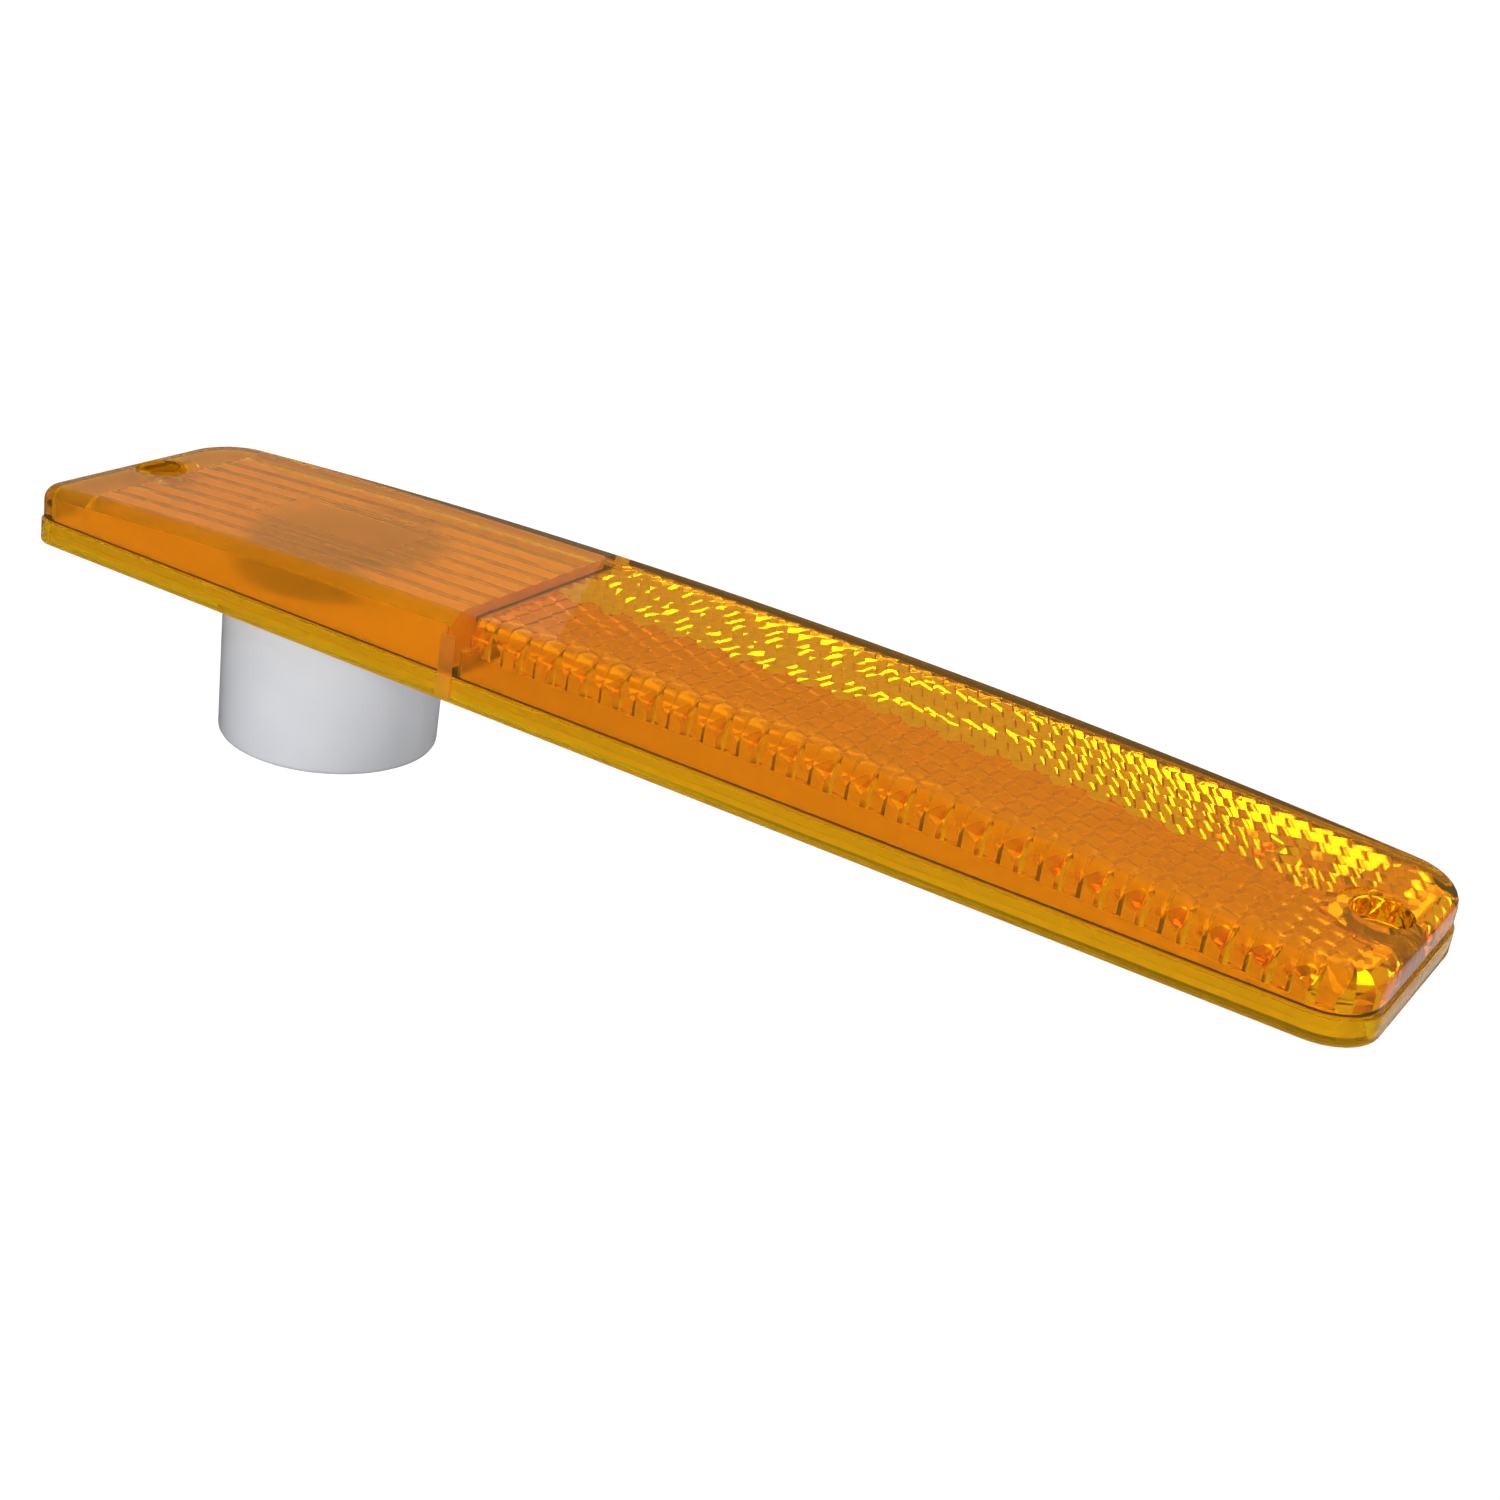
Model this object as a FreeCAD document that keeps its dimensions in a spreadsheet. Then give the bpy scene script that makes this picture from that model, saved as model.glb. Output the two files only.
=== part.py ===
import FreeCAD, Part
import os
import Sketcher

os.makedirs("parts", exist_ok=True)
doc = FreeCAD.newDocument("side_marker_lamp")

# Driving dimensions in millimetres and degrees.
# Origin: centre of the mounting plane. +X along the lamp, +Z out of the bodywork.
DIMENSIONS = {
    "lens_length": 241.0,
    "lens_width": 48.0,
    "crown_height": 14.5,
    "crown_radius": 1580.0,
    "crown_overhang": 10.0,
    "edge_round": 2.6,
    "corner_near_left": 4.5,
    "corner_near_right": 8.0,
    "corner_far_left": 10.0,
    "corner_far_right": 9.0,
    "skirt_height": 4.0,
    "skirt_wall": 1.6,
    "skirt_step": 0.4,
    "side_wall": 2.6,
    "face_wall": 2.8,
    "partition_at": -30.0,
    "partition_wall": 2.4,
    "room_corner": 1.2,
    "flute_pitch": 4.65,
    "flute_radius": 4.0,
    "flute_rise": 0.7,
    "flute_sweep": 4.2,
    "pad_length": 28.0,
    "pad_width": 13.0,
    "pad_at": -71.5,
    "pad_floor": 9.0,
    "screw_spacing": 227.0,
    "screw_hole": 4.8,
    "screw_recess": 9.0,
    "screw_recess_floor": 7.0,
    "boss_width": 11.0,
    "plate_wall": 2.0,
    "plate_gap": 0.15,
    "rib_height": 1.2,
    "rib_wall": 1.6,
    "rib_pitch": 30.0,
    "rib_margin": 8.0,
    "long_rib_from": -45.0,
    "long_rib_length": 112.0,
    "seal_bead": 1.0,
    "pot_at": -71.5,
    "pot_foot_radius": 19.0,
    "pot_root_radius": 19.4,
    "pot_depth": 26.4,
    "pot_wall": 2.2,
    "pot_round": 1.0,
    "seat_top": -16.2,
    "seat_wall": 2.0,
    "seat_hole": 11.1,
    "barrel_radius": 10.7,
    "barrel_top": -10.2,
    "barrel_chamfer": 0.6,
    "cup_clearance": 0.6,
    "lug_reach": 12.6,
    "lug_width": 5.0,
    "lug_height": 2.0,
    "lug_lift": 0.35,
    "lug_length": 4.0,
    "slot_clearance": 0.5,
    "lock_turn": 45.0,
    "stop_turn": 19.8,
    "stop_height": 2.2,
    "stop_wall": 1.8,
    "stop_length": 2.2,
    "stop_reach": 14.2,
    "overlap": 0.2,
    "through": 0.5,
    "flange_radius": 15.0,
    "flange_wall": 1.8,
    "seal_wall": 1.5,
    "seal_gap": 0.3,
    "seal_clearance": 0.2,
    "seal_margin": 0.6,
    "grip_length": 27.0,
    "grip_wall": 4.0,
    "grip_floor": -26.1,
    "cavity_length": 11.0,
    "cavity_width": 5.6,
    "cavity_floor": -20.4,
    "bulb_radius": 5.1,
    "bulb_base_floor": -19.9,
    "bulb_shoulder": -10.9,
    "bulb_tip": 6.9,
    "bulb_base_length": 9.4,
    "bulb_base_width": 2.4,
    "bulb_wall": 0.6,
    "bulb_floor": 1.6,
    "neck_inset": 1.2,
    "neck_height": 2.2,
    "dome_height": 4.6,
    "dome_side": 0.8,
    "dome_side_height": 2.2,
    "dome_top": 2.6,
    "dome_top_height": 0.6,
    "tip_wall": 1.0,
    "base_overlap": 1.0,
    "lead_radius": 0.25,
    "lead_spread": 2.6,
    "lead_fold": 4.0,
    "lead_fold_wall": 0.3,
    "lead_under_wall": 0.2,
    "lead_above": 0.3,
    "filament_height": -1.5,
    "filament_coil": 0.45,
    "contact_wall": 0.4,
    "contact_gap": 0.3,
    "contact_width": 6.4,
    "contact_top": -11.6,
    "tab_width": 2.8,
    "tab_reach": 9.2,
    "tab_lift": 0.2,
}

sheet = doc.addObject("Spreadsheet::Sheet", "dims")
for row, (alias, value) in enumerate(DIMENSIONS.items(), start=1):
    sheet.set(f"A{row}", alias)
    sheet.set(f"B{row}", str(value))
    sheet.setAlias(f"B{row}", alias)
doc.recompute()

ALONG_Y = FreeCAD.Rotation(FreeCAD.Vector(1, 0, 0), 90)

# Tolerances for finding an edge or a face by where it lies.
CLOSE = 1e-4
NEAR = 0.01


def with_cells(expression):
    """Put the sheet's name in front of each alias of an expression."""
    words = expression.split(" ")
    return " ".join("dims." + word if word in DIMENSIONS else word for word in words)


def bind(item, **expressions):
    """Bind properties to expressions; x, y and z are the item's position."""
    places = {"x": "Placement.Base.x", "y": "Placement.Base.y", "z": "Placement.Base.z"}
    for name, expression in expressions.items():
        item.setExpression(places.get(name, name), with_cells(expression))
    return item


def primitive(kind, name, rotation=None, **expressions):
    item = doc.addObject("Part::" + kind, name)
    if rotation is not None:
        item.Placement.Rotation = rotation
    return bind(item, **expressions)


def fuse(name, *shapes):
    item = doc.addObject("Part::MultiFuse", name)
    item.Shapes = list(shapes)
    item.Refine = True
    return item


def cut(name, base, tool):
    item = doc.addObject("Part::Cut", name)
    item.Base = base
    item.Tool = tool
    item.Refine = True
    return item


def common(name, base, tool):
    item = doc.addObject("Part::MultiCommon", name)
    item.Shapes = [base, tool]
    return item


def new_body(name):
    return doc.addObject("PartDesign::Body", name)


def sketch_on(body, role, name):
    """A sketch on one of the body's own origin planes."""
    sketch = body.newObject("Sketcher::SketchObject", name)
    plane = [p for p in body.Origin.OriginFeatures if p.Role == role][0]
    sketch.AttachmentSupport = [(plane, "")]
    sketch.MapMode = "FlatFace"
    return sketch


def draw_polygon(sketch, corners):
    """A closed polygon; each corner's two coordinates are expressions."""
    count = len(corners)
    rough = [FreeCAD.Vector(10 + i * i, 5 + 7 * i, 0) for i in range(count)]
    for i in range(count):
        sketch.addGeometry(Part.LineSegment(rough[i], rough[(i + 1) % count]), False)
    for i in range(count):
        sketch.addConstraint(Sketcher.Constraint("Coincident", i, 2, (i + 1) % count, 1))
    for i, corner in enumerate(corners):
        for kind, expression in zip(("DistanceX", "DistanceY"), corner):
            index = sketch.addConstraint(Sketcher.Constraint(kind, -1, 1, i, 1, 1.0))
            sketch.setExpression(f"Constraints[{index}]", with_cells(expression))


def pad(body, sketch, name, length):
    feature = body.newObject("PartDesign::Pad", name)
    feature.Profile = sketch
    feature.setExpression("Length", with_cells(length))
    return feature


def round_upright_edges(body, feature, name, radii):
    """Fillet the four upright corner edges; radii are keyed by (x side, y side)."""
    for (side_x, side_y), radius in radii.items():
        doc.recompute()
        box = feature.Shape.BoundBox
        x = box.XMax if side_x > 0 else box.XMin
        y = box.YMax if side_y > 0 else box.YMin
        names = [
            f"Edge{i}"
            for i, edge in enumerate(feature.Shape.Edges, start=1)
            if len(edge.Vertexes) == 2
            and all(abs(v.X - x) < CLOSE and abs(v.Y - y) < CLOSE for v in edge.Vertexes)
        ]
        fillet = body.newObject("PartDesign::Fillet", f"{name}_{len(body.Group)}")
        fillet.Base = (feature, names)
        fillet.setExpression("Radius", with_cells(radius))
        feature = fillet
    doc.recompute()


def rounded_block(name, left, right, half_width, floor, height, radii):
    """A block with rounded upright corners, as a body of one pad and four fillets."""
    body = new_body(name)
    sketch = sketch_on(body, "XY_Plane", name + "_outline")
    low, high = f"-( {half_width} )", half_width
    draw_polygon(sketch, [(left, low), (right, low), (right, high), (left, high)])
    round_upright_edges(body, pad(body, sketch, name + "_pad", height), name + "_corner", radii)
    return bind(body, z=floor)


def turned(name, corners):
    """A solid of revolution about the pot's axis, from radius and height expressions."""
    body = new_body(name)
    sketch = sketch_on(body, "XZ_Plane", name + "_profile")
    draw_polygon(sketch, corners)
    feature = body.newObject("PartDesign::Revolution", name + "_turn")
    feature.Profile = sketch
    feature.ReferenceAxis = (sketch, ["V_Axis"])
    feature.Angle = 360
    return bind(body, x="pot_at")


def corner_radii(inset):
    """The lens's four corner radii, less an inset."""
    return {
        (-1, -1): f"corner_near_left - ( {inset} )",
        (1, -1): f"corner_near_right - ( {inset} )",
        (-1, 1): f"corner_far_left - ( {inset} )",
        (1, 1): f"corner_far_right - ( {inset} )",
    }


def crown_disc(name, drop):
    """The large disc whose rim is the crown of the lens, lowered and shrunk by a drop."""
    return primitive(
        "Cylinder",
        name,
        ALONG_Y,
        Radius=f"crown_radius - ( {drop} )",
        Height="lens_width + 2 * crown_overhang",
        y="lens_width / 2 + crown_overhang",
        z="crown_height - crown_radius",
    )


def at_both_screws(name, **expressions):
    """The same upright cylinder at the two screw places."""
    sides = {"left": "- screw_spacing / 2", "right": "screw_spacing / 2"}
    return [primitive("Cylinder", f"{name}_{side}", x=x, **expressions) for side, x in sides.items()]


# Lens: an amber tray with a crowned face, a skirt, two rooms and a screw boss at each end.
HALF_LENGTH = "lens_length / 2"
ROOM_INSET = "skirt_step + side_wall"

skirt = rounded_block(
    "lens_skirt", f"- {HALF_LENGTH}", HALF_LENGTH, "lens_width / 2", "0", "skirt_height", corner_radii("0")
)
upper = rounded_block(
    "lens_upper",
    f"- {HALF_LENGTH} + skirt_step",
    f"{HALF_LENGTH} - skirt_step",
    "lens_width / 2 - skirt_step",
    "skirt_height",
    "crown_height",
    corner_radii("skirt_step"),
)
crowned = common("lens_crowned", fuse("lens_stack", skirt, upper), crown_disc("outer_crown", "0"))
doc.recompute()
face_radius = DIMENSIONS["crown_radius"]
crown_faces = [f for f in crowned.Shape.Faces if abs(getattr(f.Surface, "Radius", 0) - face_radius) < NEAR]
rim_edges = [
    (i, DIMENSIONS["edge_round"], DIMENSIONS["edge_round"])
    for i, edge in enumerate(crowned.Shape.Edges, start=1)
    if any(edge.isSame(rim) for face in crown_faces for rim in face.Edges)
]
rounded = doc.addObject("Part::Fillet", "lens_rounded")
rounded.Base = crowned
rounded.Edges = rim_edges

skirt_recess = rounded_block(
    "skirt_recess",
    f"- {HALF_LENGTH} + skirt_wall",
    f"{HALF_LENGTH} - skirt_wall",
    "lens_width / 2 - skirt_wall",
    "0",
    "skirt_height",
    corner_radii("skirt_wall"),
)
lamp_room = rounded_block(
    "lamp_room",
    f"- {HALF_LENGTH} + {ROOM_INSET}",
    "partition_at - partition_wall / 2",
    f"lens_width / 2 - ( {ROOM_INSET} )",
    "0",
    "crown_height",
    {**corner_radii(ROOM_INSET), (1, -1): "room_corner", (1, 1): "room_corner"},
)
reflex_room = rounded_block(
    "reflex_room",
    "partition_at + partition_wall / 2",
    f"{HALF_LENGTH} - ( {ROOM_INSET} )",
    f"lens_width / 2 - ( {ROOM_INSET} )",
    "0",
    "crown_height",
    {**corner_radii(ROOM_INSET), (-1, -1): "room_corner", (-1, 1): "room_corner"},
)

# Nine fluting ribs run along the crown of the lamp room; each is part of a thin ring.
FLUTES = 9
flute_rotation = FreeCAD.Rotation(
    FreeCAD.Vector(0, 0, 1), FreeCAD.Vector(-1, 0, 0), FreeCAD.Vector(0, -1, 0), "XYZ"
)
flutes = [
    primitive(
        "Torus",
        f"flute_{i + 1}",
        flute_rotation,
        Radius1="crown_radius - face_wall + flute_radius - flute_rise",
        Radius2="flute_radius",
        Angle3="flute_sweep",
        y=f"flute_pitch * {i - FLUTES // 2}",
        z="crown_height - crown_radius",
    )
    for i in range(FLUTES)
]
pad_block = primitive(
    "Box",
    "clear_pad",
    Length="pad_length",
    Width="pad_width",
    Height="crown_height",
    x="pad_at - pad_length / 2",
    y="- pad_width / 2",
    z="pad_floor",
)
rooms = common("rooms", fuse("room_pair", lamp_room, reflex_room), crown_disc("inner_crown", "face_wall"))
hollow = fuse("hollow", cut("fluted_rooms", rooms, fuse("face_optics", *flutes, pad_block)), skirt_recess)
bosses = fuse("bosses", *at_both_screws("boss", Radius="boss_width / 2", Height="crown_height"))
holes = fuse(
    "screw_holes",
    *at_both_screws("hole", Radius="screw_hole / 2", Height="crown_height"),
    *at_both_screws(
        "recess", Radius="screw_recess / 2", Height="crown_height", z="screw_recess_floor"
    ),
)
lens = cut("lens", cut("lens_tray", rounded, cut("lens_hollow", hollow, bosses)), holes)

# Housing: a white back plate under the lens, a drum for the bulb and a keyed seat for its socket.
PLATE_INSET = "skirt_wall + plate_gap"
PLATE_FLOOR = "skirt_height - plate_wall"
plate = rounded_block(
    "plate",
    f"- {HALF_LENGTH} + {PLATE_INSET}",
    f"{HALF_LENGTH} - ( {PLATE_INSET} )",
    f"lens_width / 2 - ( {PLATE_INSET} )",
    PLATE_FLOOR,
    "plate_wall",
    corner_radii(PLATE_INSET),
)
RIBS = 4
cross_ribs = [
    primitive(
        "Box",
        f"cross_rib_{i + 1}",
        Length="rib_wall",
        Width="lens_width - 2 * rib_margin",
        Height="rib_height",
        x=f"partition_at + rib_pitch * {i} + rib_pitch / 2",
        y="rib_margin - lens_width / 2",
        z=f"{PLATE_FLOOR} - rib_height",
    )
    for i in range(RIBS)
]
long_rib = primitive(
    "Box",
    "long_rib",
    Length="long_rib_length",
    Width="rib_wall",
    Height="rib_height",
    x="long_rib_from",
    y="- rib_wall / 2",
    z=f"{PLATE_FLOOR} - rib_height",
)
drum = turned(
    "drum",
    [
        ("seat_hole", "seat_top"),
        ("pot_foot_radius - pot_wall", "seat_top"),
        ("pot_foot_radius - pot_wall", "skirt_height"),
        ("pot_root_radius", "skirt_height"),
        ("pot_foot_radius", "- pot_depth"),
        ("pot_foot_radius - pot_wall", "- pot_depth"),
        ("pot_foot_radius - pot_wall", "seat_top - seat_wall"),
        ("seat_hole", "seat_top - seat_wall"),
    ],
)
doc.recompute()
foot_edges = [
    (i, DIMENSIONS["pot_round"], DIMENSIONS["pot_round"])
    for i, edge in enumerate(drum.Shape.Edges, start=1)
    if edge.BoundBox.ZMax < NEAR - DIMENSIONS["pot_depth"]
    and edge.BoundBox.XLength > 2 * DIMENSIONS["pot_foot_radius"] - NEAR
]
drum_rounded = doc.addObject("Part::Fillet", "drum_rounded")
drum_rounded.Base = drum
drum_rounded.Edges = foot_edges

THIRDS = (0, 120, 240)


def around_pot(name, turn, length, width, height, radius, z):
    """Three equal blocks around the pot's axis, each centred on its own direction."""
    blocks = []
    for number, third in enumerate(THIRDS, start=1):
        body = new_body(f"{name}_{number}")
        sketch = sketch_on(body, "XY_Plane", f"{name}_{number}_outline")
        inner, outer = f"{radius} - ( {length} )", radius
        half = f"( {width} ) / 2"
        draw_polygon(sketch, [(inner, f"-{half}"), (outer, f"-{half}"), (outer, half), (inner, half)])
        pad(body, sketch, f"{name}_{number}_pad", height)
        body.Placement.Rotation = FreeCAD.Rotation(FreeCAD.Vector(0, 0, 1), third + turn)
        blocks.append(bind(body, x="pot_at", z=z))
    return blocks


opening = primitive(
    "Cylinder",
    "pot_opening",
    Radius="pot_foot_radius - pot_wall",
    Height="skirt_height",
    x="pot_at",
    z="skirt_height - plate_wall - rib_height",
)
key_slots = around_pot(
    "key_slot",
    -DIMENSIONS["lock_turn"],
    "lug_length",
    "lug_width + 2 * slot_clearance",
    "seat_wall + 2 * through",
    "lug_reach + slot_clearance",
    "seat_top - seat_wall - through",
)
STOP_TURNS = {"locked": DIMENSIONS["stop_turn"], "open": -DIMENSIONS["lock_turn"] - DIMENSIONS["stop_turn"]}
stops = [
    block
    for end, turn in STOP_TURNS.items()
    for block in around_pot(
        f"stop_{end}", turn, "stop_length", "stop_wall", "stop_height", "stop_reach", "seat_top - overlap"
    )
]
boss_clearances = at_both_screws(
    "boss_clearance", Radius="boss_width / 2 + plate_gap", Height="crown_height"
)
housing = cut(
    "housing",
    fuse(
        "housing_solid",
        cut("plate_open", fuse("ribbed_plate", plate, long_rib, *cross_ribs), opening),
        drum_rounded,
        *stops,
    ),
    fuse("housing_openings", *key_slots, *boss_clearances),
)

# Seal bead: a ring of sealant in the corner between the plate's underside and the skirt.
bead_outer = rounded_block(
    "bead_outer",
    f"- {HALF_LENGTH} + skirt_wall",
    f"{HALF_LENGTH} - skirt_wall",
    "lens_width / 2 - skirt_wall",
    f"{PLATE_FLOOR} - seal_bead",
    "seal_bead",
    corner_radii("skirt_wall"),
)
bead_inner = rounded_block(
    "bead_inner",
    f"- {HALF_LENGTH} + skirt_wall + seal_bead",
    f"{HALF_LENGTH} - skirt_wall - seal_bead",
    "lens_width / 2 - skirt_wall - seal_bead",
    f"{PLATE_FLOOR} - seal_bead - through",
    "seal_bead + 2 * through",
    corner_radii("skirt_wall + seal_bead"),
)
lens_seal = cut(
    "lens_seal",
    cut("bead_ring", bead_outer, bead_inner),
    fuse("bead_gaps", *at_both_screws("bead_gap", Radius="boss_width / 2", Height="crown_height")),
)

# Socket: a twist-lock barrel with three lugs, a flange, a finger grip and a slot for the bulb's base.
SEAL_TOP = "seat_top - seat_wall - seal_gap"
FLANGE_TOP = f"{SEAL_TOP} - seal_wall"
FLANGE_FLOOR = f"{FLANGE_TOP} - flange_wall"
barrel = turned(
    "barrel",
    [
        ("0", FLANGE_FLOOR),
        ("flange_radius", FLANGE_FLOOR),
        ("flange_radius", FLANGE_TOP),
        ("barrel_radius", FLANGE_TOP),
        ("barrel_radius", "barrel_top - barrel_chamfer"),
        ("barrel_radius - barrel_chamfer", "barrel_top"),
        ("bulb_radius + cup_clearance", "barrel_top"),
        ("bulb_radius + cup_clearance", "bulb_shoulder - cup_clearance"),
        ("0", "bulb_shoulder - cup_clearance"),
    ],
)
lugs = around_pot(
    "lug", 0.0, "lug_length", "lug_width", "lug_height", "lug_reach", "seat_top + lug_lift"
)
grip = primitive(
    "Box",
    "grip",
    Length="grip_length",
    Width="grip_wall",
    Height=f"{FLANGE_FLOOR} - grip_floor + overlap",
    x="pot_at - grip_length / 2",
    y="- grip_wall / 2",
    z="grip_floor",
)
cavity = primitive(
    "Box",
    "bulb_slot",
    Length="cavity_length",
    Width="cavity_width",
    Height="barrel_top - cavity_floor",
    x="pot_at - cavity_length / 2",
    y="- cavity_width / 2",
    z="cavity_floor",
)
CONTACT_INNER = "bulb_base_width / 2 + contact_gap"


def contact(name, side):
    """A flat spring strip beside the bulb's base, with a blade tab out of the socket's floor."""
    inner = f"{CONTACT_INNER}" if side > 0 else f"- ( {CONTACT_INNER} ) - contact_wall"
    tab_y = "tab_reach - tab_width" if side > 0 else "- tab_reach"
    strip = primitive(
        "Box",
        name + "_strip",
        Length="contact_width",
        Width="contact_wall",
        Height="contact_top - cavity_floor",
        x="pot_at - contact_width / 2",
        y=inner,
        z="cavity_floor",
    )
    foot = primitive(
        "Box",
        name + "_foot",
        Length="contact_width",
        Width=f"tab_reach - ( {CONTACT_INNER} )",
        Height="contact_wall",
        x="pot_at - contact_width / 2",
        y=CONTACT_INNER if side > 0 else "- tab_reach",
        z="cavity_floor",
    )
    tab = primitive(
        "Box",
        name + "_tab",
        Length="contact_wall * 2",
        Width="tab_width",
        Height="cavity_floor - grip_floor",
        x="pot_at - contact_wall",
        y=tab_y,
        z="grip_floor + tab_lift",
    )
    return fuse(name, strip, foot, tab)


contact_live = contact("contact_live", 1)
contact_earth = contact("contact_earth", -1)
foot_room = primitive(
    "Box",
    "foot_room",
    Length="contact_width",
    Width="tab_reach * 2",
    Height="contact_wall",
    x="pot_at - contact_width / 2",
    y="- tab_reach",
    z="cavity_floor",
)
tab_slots = [
    primitive(
        "Box",
        f"tab_slot_{number}",
        Length="contact_wall * 2",
        Width="tab_width",
        Height="cavity_floor - grip_floor + contact_wall",
        x="pot_at - contact_wall",
        y=y,
        z="grip_floor",
    )
    for number, y in enumerate(("tab_reach - tab_width", "- tab_reach"), start=1)
]
socket_body = cut(
    "socket_body",
    fuse("socket_solid", barrel, grip, *lugs),
    fuse("socket_slots", cavity, foot_room, *tab_slots),
)
socket_seal = turned(
    "socket_seal",
    [
        ("seat_hole + seal_clearance", SEAL_TOP),
        ("flange_radius - seal_margin", SEAL_TOP),
        ("flange_radius - seal_margin", FLANGE_TOP),
        ("seat_hole + seal_clearance", FLANGE_TOP),
    ],
)

# Bulb: a capless wedge bulb with a hollow glass envelope, two lead wires and a coiled filament.
envelope = turned(
    "envelope",
    [
        ("0", "bulb_shoulder"),
        ("bulb_radius - neck_inset", "bulb_shoulder"),
        ("bulb_radius", "bulb_shoulder + neck_height"),
        ("bulb_radius", "bulb_tip - dome_height"),
        ("bulb_radius - dome_side", "bulb_tip - dome_side_height"),
        ("bulb_radius - dome_top", "bulb_tip - dome_top_height"),
        ("0", "bulb_tip"),
    ],
)
GLASS_INSIDE = "bulb_radius - bulb_wall"
envelope_inside = turned(
    "envelope_inside",
    [
        ("0", "bulb_shoulder + bulb_floor"),
        (f"{GLASS_INSIDE} - neck_inset", "bulb_shoulder + bulb_floor"),
        (GLASS_INSIDE, "bulb_shoulder + bulb_floor + neck_height"),
        (GLASS_INSIDE, "bulb_tip - dome_height"),
        (f"{GLASS_INSIDE} - dome_side", "bulb_tip - dome_side_height - bulb_wall"),
        (f"{GLASS_INSIDE} - dome_top", "bulb_tip - dome_top_height - tip_wall"),
        ("0", "bulb_tip - tip_wall"),
    ],
)
bulb_base = primitive(
    "Box",
    "bulb_base",
    Length="bulb_base_length",
    Width="bulb_base_width",
    Height="bulb_shoulder - bulb_base_floor + base_overlap",
    x="pot_at - bulb_base_length / 2",
    y="- bulb_base_width / 2",
    z="bulb_base_floor",
)


LEAD_SIDES = {"left": -1, "right": 1}


def lead_post(name, side):
    """The upright stretch of a lead wire, through the glass base to the filament's end."""
    return primitive(
        "Cylinder",
        name,
        Radius="lead_radius",
        Height="filament_height - bulb_base_floor + lead_above",
        x=f"pot_at + lead_spread * {side}",
        z="bulb_base_floor",
    )


def lead(name, side):
    """A lead wire; its lower end is folded under the base and up one of the base's faces."""
    under = primitive(
        "Box",
        name + "_under",
        Length="lead_radius * 2",
        Width="bulb_base_width / 2 + lead_fold_wall",
        Height="lead_under_wall",
        x=f"pot_at + lead_spread * {side} - lead_radius",
        y="0" if side > 0 else "- bulb_base_width / 2 - lead_fold_wall",
        z="bulb_base_floor - lead_under_wall",
    )
    fold = primitive(
        "Box",
        name + "_fold",
        Length="lead_radius * 2",
        Width="lead_fold_wall",
        Height="lead_fold",
        x=f"pot_at + lead_spread * {side} - lead_radius",
        y="bulb_base_width / 2" if side > 0 else "- bulb_base_width / 2 - lead_fold_wall",
        z="bulb_base_floor - lead_under_wall",
    )
    return fuse(name, lead_post(name + "_post", side), under, fold)


leads = {side: lead(f"lead_{side}", sign) for side, sign in LEAD_SIDES.items()}
lead_rooms = [lead_post(f"lead_room_{side}", sign) for side, sign in LEAD_SIDES.items()]
bulb_glass = cut(
    "bulb_glass",
    fuse("bulb_solid", envelope, bulb_base),
    fuse("bulb_hollow", envelope_inside, *lead_rooms),
)
filament = primitive(
    "Cylinder",
    "filament",
    FreeCAD.Rotation(FreeCAD.Vector(0, 1, 0), 90),
    Radius="filament_coil",
    Height="( lead_spread - lead_radius ) * 2",
    x="pot_at - lead_spread + lead_radius",
    z="filament_height",
)

doc.recompute()

NODES = {
    "lens": lens,
    "housing": housing,
    "lens_seal": lens_seal,
    "socket_body": socket_body,
    "socket_seal": socket_seal,
    "contact_live": contact_live,
    "contact_earth": contact_earth,
    "bulb_glass": bulb_glass,
    "filament": filament,
    "lead_left": leads["left"],
    "lead_right": leads["right"],
}

for item in doc.Objects:
    if "Invalid" in item.State or "Error" in item.State:
        raise RuntimeError(f"{item.Name} did not rebuild: {item.State}")
for name, item in NODES.items():
    item.Label = name
    if item.Shape.isNull() or not item.Shape.isValid() or item.Shape.Volume <= 0:
        raise RuntimeError(f"{name} has no valid solid")
    item.Shape.exportStep(f"parts/{name}.step")
    print(name, len(item.Shape.Solids), round(item.Shape.Volume, 1), item.Shape.BoundBox)
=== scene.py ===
import math
import random

import bmesh
import bpy
from mathutils import Matrix, Vector
from mathutils.geometry import delaunay_2d_cdt

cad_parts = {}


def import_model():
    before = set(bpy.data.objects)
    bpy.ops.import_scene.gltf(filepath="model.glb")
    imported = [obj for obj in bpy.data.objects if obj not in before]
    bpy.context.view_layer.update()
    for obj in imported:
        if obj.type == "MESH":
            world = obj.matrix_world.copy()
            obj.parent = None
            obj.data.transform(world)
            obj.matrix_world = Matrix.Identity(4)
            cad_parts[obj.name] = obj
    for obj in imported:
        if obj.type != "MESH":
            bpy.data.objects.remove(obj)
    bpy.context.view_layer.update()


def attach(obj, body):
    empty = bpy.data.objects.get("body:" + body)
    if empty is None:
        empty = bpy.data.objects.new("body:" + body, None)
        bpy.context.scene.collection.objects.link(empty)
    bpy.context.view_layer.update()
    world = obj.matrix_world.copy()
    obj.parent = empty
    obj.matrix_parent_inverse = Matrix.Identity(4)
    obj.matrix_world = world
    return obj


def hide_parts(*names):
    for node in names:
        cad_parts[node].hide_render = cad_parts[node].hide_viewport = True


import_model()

MM = 0.001

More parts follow.
